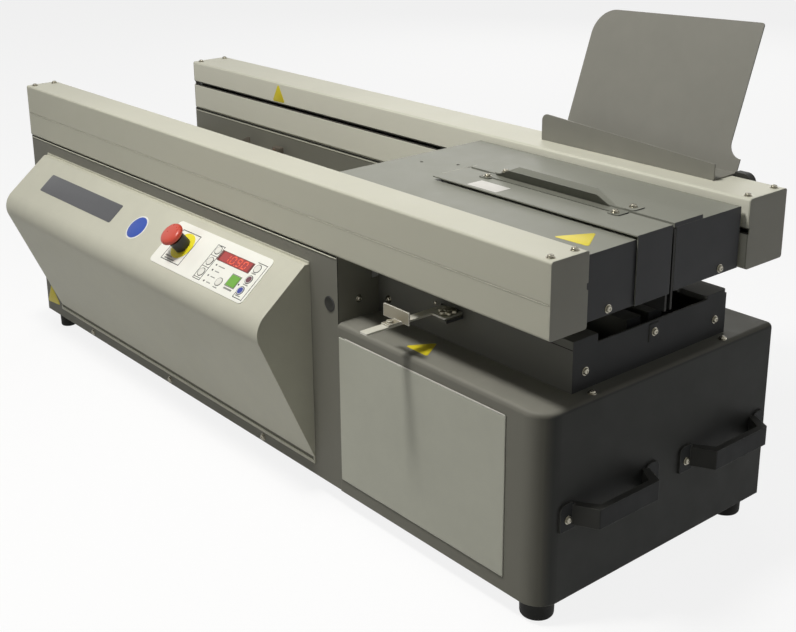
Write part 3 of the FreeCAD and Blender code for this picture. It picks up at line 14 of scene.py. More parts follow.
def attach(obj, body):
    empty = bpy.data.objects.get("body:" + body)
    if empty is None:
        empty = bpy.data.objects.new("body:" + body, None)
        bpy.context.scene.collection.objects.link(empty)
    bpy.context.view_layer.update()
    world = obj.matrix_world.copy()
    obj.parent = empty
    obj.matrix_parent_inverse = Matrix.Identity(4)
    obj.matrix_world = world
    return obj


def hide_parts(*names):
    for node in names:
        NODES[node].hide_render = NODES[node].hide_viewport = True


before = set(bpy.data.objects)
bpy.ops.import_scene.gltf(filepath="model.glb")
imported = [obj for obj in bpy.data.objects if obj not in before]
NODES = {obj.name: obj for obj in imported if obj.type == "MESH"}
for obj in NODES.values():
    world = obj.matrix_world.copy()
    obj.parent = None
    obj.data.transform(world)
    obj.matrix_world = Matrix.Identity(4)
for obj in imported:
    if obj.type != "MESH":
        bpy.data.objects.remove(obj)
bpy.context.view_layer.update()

X, Y, Z = Vector((1, 0, 0)), Vector((0, 1, 0)), Vector((0, 0, 1))
ORIGIN = (786.5, 247.937, -547)  # the frame's origin, in machine millimetres

# the console's sloping face: its upper edge, and the ways down it and off it
SLOPE_Y, SLOPE_Z = -8.5, -139.5
DOWN_SLOPE = Vector((0, -105, -86)).normalized()
OFF_SLOPE = Vector((0, -86, 105)).normalized()

# faces that pieces lie on: y of the upright ones, z of the lying ones
FRONT_RAIL_FACE, FRONT_RAIL_INNER, BACK_RAIL_INNER = 0, 71, 419
BODY_FACE, DOOR_FACE, STATION_FACE, TROUGH_WALL = 1.5, -1.5, 84, 398.4
COVER_TOP, JAW_TOP, BASE_TOP = -11, -4.5, -219

# the tab over the end of the nipping unit: its middle and its thickness
TAB_Y, TAB_THICKNESS = 254.5, 1.5


def at(x, y, z):
    return Vector((x - ORIGIN[0], y - ORIGIN[1], z - ORIGIN[2])) / 1000


def panel(x, s):
    return at(x, SLOPE_Y, SLOPE_Z) + DOWN_SLOPE * s / 1000


def place(origin, u, v, w):
    """Matrix that takes local millimetres along u, v, w to the frame's metres."""
    m = Matrix.Identity(4)
    for i, axis in enumerate((u, v, w)):
        for k in range(3):
            m[k][i] = axis[k] / 1000
    for k in range(3):
        m[k][3] = origin[k]
    return m


def facing(origin, w):
    """A place whose w points outwards from a face, with u and v in the face."""
    w = Vector(w).normalized()
    side = Z if abs(w.z) < 0.9 else X
    u = side.cross(w).normalized()
    return place(origin, u, w.cross(u), w)


def front_face(y):
    """The upright face at y, as the operator sees it: x, z, and height towards the operator."""
    return place(at(0, y, 0), X, Z, -Y)


def top_face(z):
    """The lying face at z: x, y, and height above it."""
    return place(at(0, 0, z), X, Y, Z)


PANEL = place(panel(0, 0), X, DOWN_SLOPE, OFF_SLOPE)


# ---------------------------------------------------------------- outlines
def area(points):
    return sum(a[0] * b[1] - b[0] * a[1] for a, b in zip(points, points[1:] + points[:1])) / 2


def inset(points, d):
    """The outline moved inwards by d."""
    turn = 1 if area(points) > 0 else -1
    moved = []
    n = len(points)
    for i in range(n):
        p, q, r = Vector(points[i - 1]), Vector(points[i]), Vector(points[(i + 1) % n])
        a, b = (q - p).normalized(), (r - q).normalized()
        na, nb = Vector((-a.y, a.x)) * turn, Vector((-b.y, b.x)) * turn
        s = na + nb
        k = s.length_squared
        moved.append(tuple(q + s * (2 * d / k if k > 0.2 else d)))
    return moved


def rounded(points, radius, steps=6):
    """A polygon with its corners rounded; radius is one number or one for each corner."""
    n = len(points)
    radii = radius if isinstance(radius, (list, tuple)) else [radius] * n
    made = []
    for i in range(n):
        p, q, r = Vector(points[i - 1]), Vector(points[i]), Vector(points[(i + 1) % n])
        a, b = (p - q).normalized(), (r - q).normalized()
        rad = radii[i]
        if rad <= 0:
            made.append(tuple(q))
            continue
        half = a.angle(b) / 2
        reach = rad / math.tan(half)
        centre = q + (a + b).normalized() * (rad / math.sin(half))
        start, end = q + a * reach - centre, q + b * reach - centre
        for k in range(steps + 1):
            t = k / steps
            d = start.slerp(end, t) if start.angle(end) > 1e-4 else start
            made.append(tuple(centre + d.normalized() * rad))
    return made


def rect(x0, y0, x1, y1, r=0, steps=6):
    points = [(x0, y0), (x1, y0), (x1, y1), (x0, y1)]
    return rounded(points, r, steps) if r else points


def disc(r, n=48, centre=(0, 0)):
    turns = [2 * math.pi * k / n for k in range(n)]
    return [(centre[0] + r * math.cos(a), centre[1] + r * math.sin(a)) for a in turns]


# ---------------------------------------------------------------- meshes
class Shape:
    """Collects closed solids, then becomes one object."""

    def __init__(self):
        self.v, self.f, self.m = [], [], []

    def add(self, verts, faces, mat=0):
        base = len(self.v)
        self.v += [Vector(p) for p in verts]
        self.f += [[i + base for i in f] for f in faces]
        self.m += [mat] * len(faces)
        return self

    def rings(self, rings, where, mat=0, close=False):
        """Skins rings of 3D local points, capped at both ends, or joined last to first."""
        n = len(rings[0])
        verts = [where @ Vector(p) for ring in rings for p in ring]
        faces = []
        count = len(rings)
        for k in range(count if close else count - 1):
            a, b = k * n, ((k + 1) % count) * n
            for i in range(n):
                j = (i + 1) % n
                faces.append([a + i, a + j, b + j, b + i])
        if not close:
            faces.append(list(range(n))[::-1])
            faces.append([(count - 1) * n + i for i in range(n)])
        return self.add(verts, faces, mat)

    def prism(self, outline, where, low, high, chamfer=0.0, mat=0):
        """An outline pushed from low to high, with its upper edge taken off."""
        rings = [[(p[0], p[1], low) for p in outline]]
        if chamfer:
            for share, rise in ((0, 0), (0.3, 0.7), (1, 1)):
                ring = inset(outline, chamfer * share) if share else outline
                rings.append([(p[0], p[1], high - chamfer + chamfer * rise) for p in ring])
        else:
            rings.append([(p[0], p[1], high) for p in outline])
        return self.rings(rings, where, mat)

    def band(self, outline, width, where, low, high, mat=0):
        """A flat line of the given width just inside an outline."""
        inner = inset(outline, width)
        loop = [(outline, low), (outline, high), (inner, high), (inner, low)]
        return self.rings([[(p[0], p[1], h) for p in o] for o, h in loop], where, mat, close=True)

    def lathe(self, profile, where, n=48, mat=0, close=False, lobes=None):
        """Turns (radius, height) pairs about w. Equal ends are capped, or the profile closes."""
        rings = []
        for r, h in profile:
            ring = []
            for k in range(n):
                a = 2 * math.pi * k / n
                rr = r * (lobes(a, h) if lobes else 1)
                ring.append((rr * math.cos(a), rr * math.sin(a), h))
            rings.append(ring)
        return self.rings(rings, where, mat, close)

    def copy_of(self, mesh, where):
        verts = [where @ v.co for v in mesh.vertices]
        faces = [list(p.vertices) for p in mesh.polygons]
        return self.add(verts, faces)

    def mesh(self, name, merge=2e-7):
        """One mesh of it all, with equal points joined and the faces turned outwards."""
        mesh = bpy.data.meshes.new(name)
        mesh.from_pydata([tuple(v) for v in self.v], [], self.f)
        bm = bmesh.new()
        bm.from_mesh(mesh)
        for face, mat in zip(bm.faces, self.m):
            face.material_index = mat
        bmesh.ops.remove_doubles(bm, verts=bm.verts, dist=merge)
        bmesh.ops.recalc_face_normals(bm, faces=bm.faces)
        bm.to_mesh(mesh)
        bm.free()
        return mesh

    def make(self, name, body, materials, smooth=32, replaces=()):
        """The object, smooth up to the given angle, riding on a body."""
        mesh = self.mesh(name)
        mesh.shade_smooth()
        mesh.set_sharp_from_angle(angle=math.radians(smooth))
        for m in materials if isinstance(materials, (list, tuple)) else [materials]:
            mesh.materials.append(m)
        piece = bpy.data.objects.new(name, mesh)
        bpy.context.scene.collection.objects.link(piece)
        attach(piece, body)
        if replaces:
            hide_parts(*replaces)
        return piece


# ---------------------------------------------------------------- materials
def linear(code):
    out = []
    for k in (0, 2, 4):
        c = int(code[k:k + 2], 16) / 255
        out.append(c / 12.92 if c <= 0.04045 else ((c + 0.055) / 1.055) ** 2.4)
    return out


def shade(rgb, k):
    return (*[max(0.0, min(1.0, c * k)) for c in rgb], 1)


class Graph:
    """Short names for the nodes that every finish uses."""

    def __init__(self, name):
        self.mat = bpy.data.materials.new(name)
        self.mat.use_nodes = True
        self.tree = self.mat.node_tree
        self.tree.nodes.clear()
        self.out = self.new("ShaderNodeOutputMaterial")
        self.bsdf = self.new("ShaderNodeBsdfPrincipled")
        self.link(self.bsdf.outputs[0], self.out.inputs[0])
        self.coord = self.new("ShaderNodeTexCoord").outputs["Object"]

    def new(self, kind, **values):
        node = self.tree.nodes.new(kind)
        for k, v in values.items():
            setattr(node, k, v)
        return node

    def link(self, a, b):
        self.tree.links.new(a, b)

    def noise(self, scale, detail=2, rough=0.5, stretch=None):
        node = self.new("ShaderNodeTexNoise")
        node.inputs["Scale"].default_value = scale
        node.inputs["Detail"].default_value = detail
        node.inputs["Roughness"].default_value = rough
        if stretch:
            mapping = self.new("ShaderNodeMapping")
            mapping.inputs["Scale"].default_value = stretch
            self.link(self.coord, mapping.inputs["Vector"])
            self.link(mapping.outputs[0], node.inputs["Vector"])
        else:
            self.link(self.coord, node.inputs["Vector"])
        return node.outputs["Fac"]

    def ramp(self, value, low, high, to_low=0.0, to_high=1.0):
        node = self.new("ShaderNodeMapRange")
        node.clamp = True
        self.link(value, node.inputs["Value"])
        node.inputs["From Min"].default_value = low
        node.inputs["From Max"].default_value = high
        node.inputs["To Min"].default_value = to_low
        node.inputs["To Max"].default_value = to_high
        return node.outputs["Result"]

    def maths(self, kind, a, b):
        node = self.new("ShaderNodeMath", operation=kind)
        for socket, value in zip(node.inputs, (a, b)):
            if isinstance(value, (int, float)):
                socket.default_value = value
            else:
                self.link(value, socket)
        return node.outputs[0]

    def mix(self, factor, a, b):
        node = self.new("ShaderNodeMix", data_type="RGBA")
        self.link(factor, node.inputs["Factor"])
        sockets = [s for s in node.inputs if s.type == "RGBA"]
        for socket, value in zip(sockets, (a, b)):
            if isinstance(value, (tuple, list)):
                socket.default_value = value
            else:
                self.link(value, socket)
        return [s for s in node.outputs if s.type == "RGBA"][0]


BROAD, SMUDGE, RUBBED = (4.5, 3), (34, 5, 0.6), (60, 4, 0.6)  # scale, detail and roughness
UNEVEN = 0.05  # how far the roughness strays to either side
DUST_COLOUR = "B9B7AC"


def finish(name, colour, rough=0.5, spec=0.3, metallic=0.0, grain=900, bump=0.2, depth=0.12,
           vary=0.04, wear_and_highlight=None, wear_and_highlight_amount=0.5, edge=0.8, brush=None,
           fleck=0.03, dust=None, glow=0.0, ends=None, front=None, even=0.15, top=None):
    """One procedural surface: broad and fine colour variation, a fine bump, uneven gloss, soft
    rounded edges, and edges lightened to an edge colour that is partly rubbed wear in patches and
    partly a painted highlight line. Faces towards the right-hand end take the colour ends, faces
    towards the operator the colour front, and faces that look up the colour top: painted light and
    shade, lighter or darker by the way a face looks. even is the least share of the edge colour
    that an edge has; where it is high, the edge is one steady painted highlight line."""
    g = Graph(name)
    rgb = linear(colour)
    broad, smudge = g.noise(*BROAD), g.noise(*SMUDGE)
    fine = g.noise(grain, 2, 0.55, brush)
    tone = g.maths("ADD", g.maths("MULTIPLY", broad, 0.6), g.maths("MULTIPLY", smudge, 0.4))
    base = g.mix(g.ramp(tone, 0.35, 0.65), shade(rgb, 1 - vary), shade(rgb, 1 + vary))
    if fleck:
        base = g.mix(g.ramp(fine, 0.62, 0.8, 0, fleck * 4), base, shade(rgb, 0.72))
    flat = g.new("ShaderNodeNewGeometry").outputs["Normal"]
    side = g.new("ShaderNodeSeparateXYZ")
    g.link(flat, side.inputs[0])
    # painted light and shade: faces towards the right-hand end, upwards and towards the operator
    # take a lighter or darker colour
    for code, axis, low, high in ((ends, "X", 0.75, 0.95), (top, "Z", 0.45, 0.85),
                                  (front, "Y", -0.75, -0.95)):
        if code:
            base = g.mix(g.ramp(side.outputs[axis], low, high), base, shade(linear(code), 1))
    normal = None
    if edge:
        soft = g.new("ShaderNodeBevel")
        soft.samples = 4
        soft.inputs["Radius"].default_value = edge / 1000
        normal = soft.outputs[0]
        # the edge colour: rubbed wear in noisy patches over a steady painted highlight line along
        # every edge
        if wear_and_highlight:
            dot = g.new("ShaderNodeVectorMath", operation="DOT_PRODUCT")
            g.link(normal, dot.inputs[0])
            g.link(flat, dot.inputs[1])
            rim = g.ramp(dot.outputs["Value"], 0.985, 0.80)
            patches = g.ramp(g.noise(*RUBBED), 0.38, 0.62, even, wear_and_highlight_amount)
            base = g.mix(g.maths("MULTIPLY", rim, patches), base, (*linear(wear_and_highlight), 1))
    if dust:
        settled = g.maths("MULTIPLY", g.ramp(side.outputs["Z"], 0.6, 1.0),
                          g.ramp(smudge, 0.4, 0.75, 0, dust))
        base = g.mix(settled, base, shade(linear(DUST_COLOUR), 1))
    g.link(base, g.bsdf.inputs["Base Color"])
    g.link(g.ramp(smudge, 0.3, 0.7, rough - UNEVEN, rough + UNEVEN), g.bsdf.inputs["Roughness"])
    g.bsdf.inputs["Metallic"].default_value = metallic
    g.bsdf.inputs["Specular IOR Level"].default_value = spec
    if glow:
        g.bsdf.inputs["Emission Color"].default_value = (*rgb, 1)
        g.bsdf.inputs["Emission Strength"].default_value = glow
    if bump:
        node = g.new("ShaderNodeBump")
        node.inputs["Strength"].default_value = bump
        node.inputs["Distance"].default_value = depth / 1000
        g.link(fine, node.inputs["Height"])
        if normal:
            g.link(normal, node.inputs["Normal"])
        g.link(node.outputs[0], g.bsdf.inputs["Normal"])
    elif normal:
        g.link(normal, g.bsdf.inputs["Normal"])
    return g.mat


COAT = dict(rough=0.52, spec=0.22, grain=1300, bump=0.35, depth=0.10)
BLACK = dict(rough=0.55, spec=0.10, grain=1100, bump=0.3, wear_and_highlight="4C4C48", wear_and_highlight_amount=0.35)
STEEL = dict(rough=0.32, spec=0.5, metallic=1.0, bump=0.15, depth=0.05, fleck=0.0)
PRINT = dict(rough=0.45, spec=0.3, grain=600, bump=0.08, edge=0, fleck=0.0, vary=0.03)

FINISHES = {
    # the front rail: faces towards the operator and its right-hand end painted a shade darker than
    # its top, as painted shade
    "rail_coat": finish("rail_coat_paint", "CDCCBC", wear_and_highlight="E2E1D6", edge=1.2, front="C4C3B3",
                        ends="BCBBB1", **COAT),
    "console_coat": finish("console_coat_paint", "CDCCBC", wear_and_highlight="E2E1D6", edge=1.0, **COAT),
    # the door: a steady near-white edge colour, a painted highlight line more than wear
    "door_coat": finish("door_coat_paint", "BFC0B3", wear_and_highlight="F6F5EC", wear_and_highlight_amount=1.0, edge=2.4,
                        even=0.8, **COAT),
    # body paint: right-hand end faces painted darker (painted shade); faces towards the operator
    # and upwards painted lighter (painted light); the light edges are mostly a painted highlight
    # line, partly wear
    "body_coat": finish("body_coat_paint", "737269", wear_and_highlight="A9A89C", wear_and_highlight_amount=0.9, edge=1.3,
                        dust=0.08, ends="4A4B49", front="7E7D74", top="87867D", even=0.6,
                        **{**COAT, "spec": 0.12, "rough": 0.55}),
    "deck_coat": finish("deck_coat_paint", "7F7E74", wear_and_highlight="A5A499", edge=0.8, **COAT),
    # the carriage: its right-hand end faces painted darker, as painted shade
    "carriage_coat": finish("carriage_coat_paint", "8E8F85", wear_and_highlight="A9A99F", edge=0.8, rough=0.5,
                            spec=0.14, grain=1300, bump=0.25, depth=0.08, ends="565759"),
    # the guides: the carriage's gray painted darker all over, and darker still towards the operator
    # and the right-hand end: painted shade
    "guide_coat": finish("guide_coat_painted_shade", "78796F", wear_and_highlight="94958C", edge=0.5, rough=0.5,
                         spec=0.12, grain=1200, bump=0.25, ends="525356", front="6B6C65"),
    # the jaws: faces towards the right-hand end and the operator painted darker, as painted shade
    "jaw_steel": finish("jaw_steel_ground", "5A5A54", brush=(20, 700, 700), grain=1, ends="3A3A38",
                        front="3A3A38", **{**STEEL, "rough": 0.5, "metallic": 0.3, "spec": 0.1}),
    "frame_alloy": finish("frame_alloy_milled", "B4B5B4", brush=(40, 900, 900), grain=1, **STEEL),
    "rod_chrome": finish("rod_chrome_ground", "D6D6D4", rough=0.12, spec=0.5, metallic=1.0,
                         bump=0.05, fleck=0.0, edge=0.5),
    "bearing_alloy": finish("bearing_alloy_anodised", "B7B8B8", grain=700, **STEEL),
    "actuator_alloy": finish("actuator_alloy_anodised", "A2A4A6", grain=700, **STEEL),
    "motor_coat": finish("motor_coat_enamel", "33332F", **BLACK),
    "belt_rubber": finish("belt_rubber_black", "2B2B2A", rough=0.7, spec=0.2, grain=500, bump=0.4,
                          edge=0.4),
    "pulley_alloy": finish("pulley_alloy_turned", "BCBCBA", grain=700, **STEEL),
    "tank_alloy": finish("tank_alloy_cast", "8F8A7C", rough=0.5, spec=0.5, metallic=0.8, grain=420,
                         bump=0.4, fleck=0.05),
    "roller_steel": finish("roller_steel_turned", "ABA89F", brush=(700, 30, 700), grain=1, **STEEL),
    "cutter_steel": finish("cutter_steel_ground", "B3B3B1", brush=(30, 700, 700), grain=1, **STEEL),
    # the station: right-hand end faces painted darker, as painted shade
    "station_black": finish("station_black_paint", "71716B", ends="4F5051", **BLACK),
    # the nipping unit: right-hand end faces painted darker (painted shade), faces towards the
    # operator lighter (painted light)
    "nip_black": finish("nip_black_paint", "4E4E48", ends="333435", front="66665F", even=0.4,
                        edge=1.0, **BLACK),
    "gauge_steel": finish("gauge_steel_brushed", "DDDBCF", rough=0.42, spec=0.5, metallic=0.12,
                          brush=(900, 25, 900), grain=1, bump=0.25, depth=0.04, fleck=0.0, edge=0.6,
                          wear_and_highlight="EDEBE0", wear_and_highlight_amount=0.9),
    "knob_nickel": finish("knob_nickel_satin", "A09C88", rough=0.42, spec=0.4, metallic=0.5,
                          grain=500, bump=0.12, fleck=0.02, edge=0.4),
    "rest_coat": finish("rest_coat_paint", "85847C", wear_and_highlight="C8C7BC", edge=0.7, rough=0.45, spec=0.3,
                        grain=1300, bump=0.3, depth=0.09),
    "bracket_black": finish("bracket_black_paint", "3C3C39", **BLACK),
    # the handles: right-hand end faces painted darker (painted shade); the light edges are partly a
    # painted highlight, partly wear
    "handle_plastic": finish("handle_plastic_grained", "42423F", rough=0.6, spec=0.15, grain=1500,
                             bump=0.5, depth=0.12, wear_and_highlight="8A8A82", wear_and_highlight_amount=0.8, edge=1.6,
                             ends="262727", even=0.5),
    "foot_rubber": finish("foot_rubber_black", "2A2A28", rough=0.75, spec=0.2, grain=600, bump=0.4,
                          dust=0.2, edge=0.8),
    # the screws: heads facing the right-hand end get a brighter metal colour, a painted highlight
    "screw_nickel": finish("screw_nickel_plated", "8A8678", rough=0.24, spec=0.5, metallic=0.85,
                           ends="ABA799", grain=600, bump=0.08, fleck=0.02, edge=0.15),
    "overlay_film": finish("overlay_film_print", "F8F8F0", rough=0.42, spec=0.3, grain=1600,
                           bump=0.2, depth=0.05, edge=0.4, fleck=0.0, vary=0.02),
    "display_red": finish("display_red_window", "A62E2C", rough=0.25, spec=0.4, grain=300, bump=0.0,
                          edge=0.3, fleck=0.0, vary=0.05, glow=0.08),
    "collar_plastic": finish("collar_plastic_black", "2E2F2C", rough=0.35, spec=0.4, grain=700,
                             bump=0.15, edge=0.4),
    "button_red": finish("button_red_plastic", "CC4630", rough=0.3, spec=0.5, grain=500, bump=0.08,
                         depth=0.05, edge=0.5, fleck=0.0, wear_and_highlight="D8705C", wear_and_highlight_amount=0.3),
    "key_light": finish("key_light_film", "EDECE4", **{**PRINT, "edge": 0.2}),
    "key_red": finish("key_red_film", "6E4650", **{**PRINT, "edge": 0.2}),
    "key_blue": finish("key_blue_film", "3E4C9E", **{**PRINT, "edge": 0.2}),
    "key_green": finish("key_green_film", "74B046", **{**PRINT, "edge": 0.2}),
    "inlet_plastic": finish("inlet_plastic_black", "343432", rough=0.45, spec=0.35, grain=900,
                            bump=0.2, edge=0.5),
    "board_green": finish("board_green_lacquer", "2C5F3C", rough=0.3, spec=0.4, grain=400, bump=0.1,
                          edge=0.2, fleck=0.05),
}
for node in NODES.values():
    for slot in node.material_slots:
        slot.material = FINISHES[slot.material.name.split(".")[0]]

INK = finish("print_black", "2A2A28", **PRINT)
INK_GRAY = finish("print_gray", "8D8D88", **PRINT)
PLATE = finish("nameplate_film", "58595C", **{**PRINT, "rough": 0.35, "vary": 0.06})
WHITE = finish("sticker_white", "EEEEEA", **PRINT)
PAPER = finish("label_paper", "DDDBD6", **{**PRINT, "rough": 0.6, "vary": 0.05})
BLUE = finish("sign_blue", "3454B0", **PRINT)
YELLOW = finish("sticker_yellow", "E4D22E", **PRINT)
DISC_YELLOW = finish("disc_yellow_plastic", "F0E426", **{**PRINT, "edge": 0.3})
DIGIT = finish("digit_red", "DC5C44", **{**PRINT, "glow": 0.22})
BEZEL = finish("display_edge", "6A2C2A", **PRINT)
INSIDE_COAT = finish("body_coat_inside", "8B8A80", wear_and_highlight="A9A89C", edge=0.8, **COAT)
# near-white paint for the strip on the door's upper edge: a painted highlight
EDGE_HIGHLIGHT_WHITE = finish("door_edge_painted_highlight", "F4F3EA", **{**COAT, "edge": 0.3})
# the back rail: the rail paint made lighter, and lighter still on its inner face and right-hand
# end: painted light
BACK_RAIL_PAINTED_LIGHT = finish("back_rail_painted_light", "D8D7C7", wear_and_highlight="E6E5DA", edge=1.2, front="E8E7D8",
                   ends="DEDEDC", **COAT)
SENSOR = finish("sensor_case", "625C52", rough=0.5, spec=0.2, grain=900, bump=0.2, edge=0.5)
# dark gray for the lips in the rail slots, standing in for the slots' shaded inside: painted shade
SLOT_SHADE_LIP = finish("rubber_lip_painted_shade", "504F49", rough=0.7, spec=0.15, grain=900, bump=0.2, edge=0.3)
GAP_LINE = finish("gap_shade", "242421", rough=0.8, spec=0.05, grain=700, bump=0.1, edge=0)
# the stop plate: edges near-white almost all along, a painted highlight line more than wear
STOP_STEEL = finish("stop_steel_brushed", "97917F", rough=0.45, spec=0.4, metallic=0.2,
                    brush=(25, 900, 900), grain=1, bump=0.25, depth=0.04, fleck=0.0, edge=2.0,
                    wear_and_highlight="FFFFF6", wear_and_highlight_amount=1.0, even=0.9)
SENSOR_WINDOW = finish("sensor_window", "6E5A4C", rough=0.2, spec=0.5, grain=400, bump=0.0,
                       edge=0.2)

OWN_FINISHES = {"stop_plate": STOP_STEEL, "back_rail_upper": BACK_RAIL_PAINTED_LIGHT,
                "back_rail_lower": BACK_RAIL_PAINTED_LIGHT, "centre_wall": INSIDE_COAT}
for name, own in OWN_FINISHES.items():
    for slot in NODES[name].material_slots:
        slot.material = own


# ---------------------------------------------------------------- fasteners
def screw_mesh():
    """A pan head with a cross recess, seat at w = 0; add_screw puts a split washer and a flat
    washer under it.
    """
    def solid(name, shape):
        piece = bpy.data.objects.new(name, shape.mesh(name, 1e-7))
        bpy.context.scene.collection.objects.link(piece)
        return piece

    here = Matrix.Identity(4)
    head = solid("head", Shape().lathe(
        [(0.01, 1.7), (4.55, 1.7), (4.75, 1.95), (4.75, 2.5), (4.55, 3.2), (4.0, 3.9), (3.1, 4.3),
         (1.8, 4.48), (0.01, 4.5)], here, 40))
    tools = []
    for turn in (0, 1):
        box = rect(-2.6, -0.45, 2.6, 0.45)
        small = rect(-1.2, -0.3, 1.2, 0.3)
        if turn:
            box, small = [(-p[1], p[0]) for p in box], [(-p[1], p[0]) for p in small]
        tools.append(solid("cut", Shape().rings(
            [[(*p, 2.9) for p in small], [(*p, 4.8) for p in box]], here)))
    for tool in tools:
        mod = head.modifiers.new("cut", "BOOLEAN")
        mod.object, mod.operation, mod.solver = tool, "DIFFERENCE", "EXACT"
    bpy.context.view_layer.update()
    graph = bpy.context.evaluated_depsgraph_get()
    done = bpy.data.meshes.new_from_object(head.evaluated_get(graph))
    for piece in (head, *tools):
        bpy.data.objects.remove(piece)
    return done


SCREW = screw_mesh()


def add_screw(shape, origin, w, turn=0.0):
    where = facing(origin, w) @ Matrix.Rotation(math.radians(turn), 4, "Z")
    shape.lathe([(0.01, 0), (6.35, 0), (6.5, 0.15), (6.5, 0.8), (6.35, 0.95), (0.01, 0.95)],
                where, 40)
    gap = 7
    ring = [(5.1, 0.95), (5.2, 1.05), (5.2, 1.65), (5.1, 1.75), (2.6, 1.75), (2.6, 0.95)]
    arc = [math.radians(gap + (360 - 2 * gap) * k / 36) for k in range(37)]
    shape.rings([[(r * math.cos(a), r * math.sin(a), h) for r, h in ring] for a in arc], where)
    shape.copy_of(SCREW, where)


def spots(node):
    """Where each separate solid of a CAD node is: its lowest and highest corner."""
    bm = bmesh.new()
    bm.from_mesh(NODES[node].data)
    bmesh.ops.remove_doubles(bm, verts=bm.verts, dist=1e-6)
    seen, found = set(), []
    for first in bm.verts:
        if first.index in seen:
            continue
        seen.add(first.index)
        stack, group = [first], []
        while stack:
            v = stack.pop()
            group.append(v.co.copy())
            for e in v.link_edges:
                other = e.other_vert(v)
                if other.index not in seen:
                    seen.add(other.index)
                    stack.append(other)
        found.append((
            Vector([min(c[k] for c in group) for k in range(3)]),
            Vector([max(c[k] for c in group) for k in range(3)]),
        ))
    bm.free()
    return found


def screws_for(node, body, name):
    shape = Shape()
    for i, (low, high) in enumerate(sorted(spots(node), key=lambda b: tuple(b[0]))):
        size = high - low
        axis = min(range(3), key=lambda k: size[k])
        out = (Vector((1, 0, 0)), Vector((0, -1, 0)), Vector((0, 0, 1)))[axis]
        centre = (low + high) / 2
        centre[axis] = high[axis] if axis == 1 else low[axis]
        on_tab = axis == 0 and abs(centre.y - at(0, TAB_Y, 0).y) < 0.001
        if node == "case_screws" and on_tab:
            centre.x += TAB_THICKNESS / 1000
        add_screw(shape, centre, out, turn=i * 37 % 90)
    shape.make(name, body, FINISHES["screw_nickel"], smooth=28, replaces=[node])


screws_for("case_screws", "machine", "case_screw_set")
screws_for("carriage_screws", "carriage", "carriage_screw_set")
screws_for("jaw_screws", "jaw", "jaw_screw_set")

# the small tab that hangs over the end of the nipping unit, under its middle screw
tab = Shape()
tab.prism(rounded([(-11, -15), (11, -15), (11, 13), (-11, 13)], [2, 2, 4, 4]),
          facing(at(1507, TAB_Y, -172), X), -0.2, TAB_THICKNESS, 0.3)
tab.make("housing_tab", "machine", FINISHES["station_black"])

# ---------------------------------------------------------------- feet
feet = Shape()
for low, high in spots("rubber_feet"):
    r = (high.x - low.x) * 500
    h = (high.z - low.z) * 1000
    where = place(Vector(((low.x + high.x) / 2, (low.y + high.y) / 2, low.z)), X, Y, Z)
    feet.lathe([(r * 0.3, 0), (r * 0.3, 1.5), (r * 0.45, 1.5), (r * 0.5, 0), (r - 4.2, 0),
                (r - 2.6, 0.5), (r - 1.6, 1.9), (r - 1.2, 4), (r - 0.9, h * 0.5), (r - 0.5, h - 7),
                (r, h - 6.2), (r, h - 1), (r - 0.6, h)], where, 64)
feet.make("foot_set", "machine", FINISHES["foot_rubber"], replaces=["rubber_feet"])

# ---------------------------------------------------------------- gauge knob
knob = Shape()
where = place(at(1277, 64.5, -164.7), X, Y, Z)


def petals(a, h):
    """How far out the knob reaches: six lobes between its two plain rims."""
    return 1 - 0.34 * (0.5 + 0.5 * math.cos(6 * a)) ** 1.5 if 2.2 < h < 8.4 else 1


knob.lathe([(0.01, 0.2), (7.5, 0.2), (7.6, 2.0), (13.4, 2.3), (14.7, 3.0), (15, 3.8), (15, 5.6),
            (14.4, 6.6), (13.0, 7.2), (8.2, 7.4), (7.2, 8.5), (6.4, 8.9), (0.01, 9.0)], where, 96,
           lobes=petals)
knob.lathe([(0.01, -7.4), (2.7, -7.4), (2.95, -7.1), (2.95, 0.4), (0.01, 0.4)], where, 32)
knob.make("knob_lobed", "gauge_knob", FINISHES["knob_nickel"],
          replaces=["gauge_knob"])

# ---------------------------------------------------------------- panel prints
# heights off the slope: the overlay's face, where its prints start, and the display's face
FILM = 1.0
SUNK = FILM - 0.1
WINDOW = 1.2
DIGIT_TOP = 1.42
LINES = [
    rect(921.5, 26.6, 948.6, 27.9), rect(947.3, 26.6, 948.6, 98.8), rect(922.4, 97.5, 948.6, 98.8),
    rect(922.4, 89, 923.7, 98.8),
    rect(799.6, 47.6, 820.4, 48.7), rect(799.6, 71.2, 820.4, 72.3), rect(799.6, 93.8, 820.4, 94.9),
]
CAPTIONS = [
    rect(840, 60.2, 858, 62), rect(840, 70.8, 852.5, 72.6), rect(840, 82.4, 852.5, 84.2),
    rect(840, 94.2, 851.5, 96), rect(862.5, 96.6, 874, 98.6), rect(888, 89.3, 911, 92.6),
    rect(926, 92.6, 939, 94.6), rect(925, 70.6, 938, 72.4), rect(924, 47.4, 936, 49.2),
]
SMUDGES = [rect(691, 80.5, 712, 83.6), rect(693, 86, 724, 88.6)]
prints = Shape()
prints.band(rect(684.8, 26.2, 744.1, 91.8), 1.5, PANEL, SUNK, FILM + 0.10)
prints.band(rect(799, 26, 821, 98.5), 1.3, PANEL, SUNK, FILM + 0.10)
for line in LINES:
    prints.prism(line, PANEL, SUNK, FILM + 0.10)
for line in CAPTIONS + SMUDGES:
    prints.prism(line, PANEL, SUNK, FILM + 0.08, mat=1)
for x, s in ((810, 36), (810, 59.6), (810, 83.2), (930, 38), (930, 60.8), (930, 83.6), (867.7, 86)):
    prints.band(disc(8.5, 40, (x, s)), 1.1, PANEL, SUNK, FILM + 0.12)
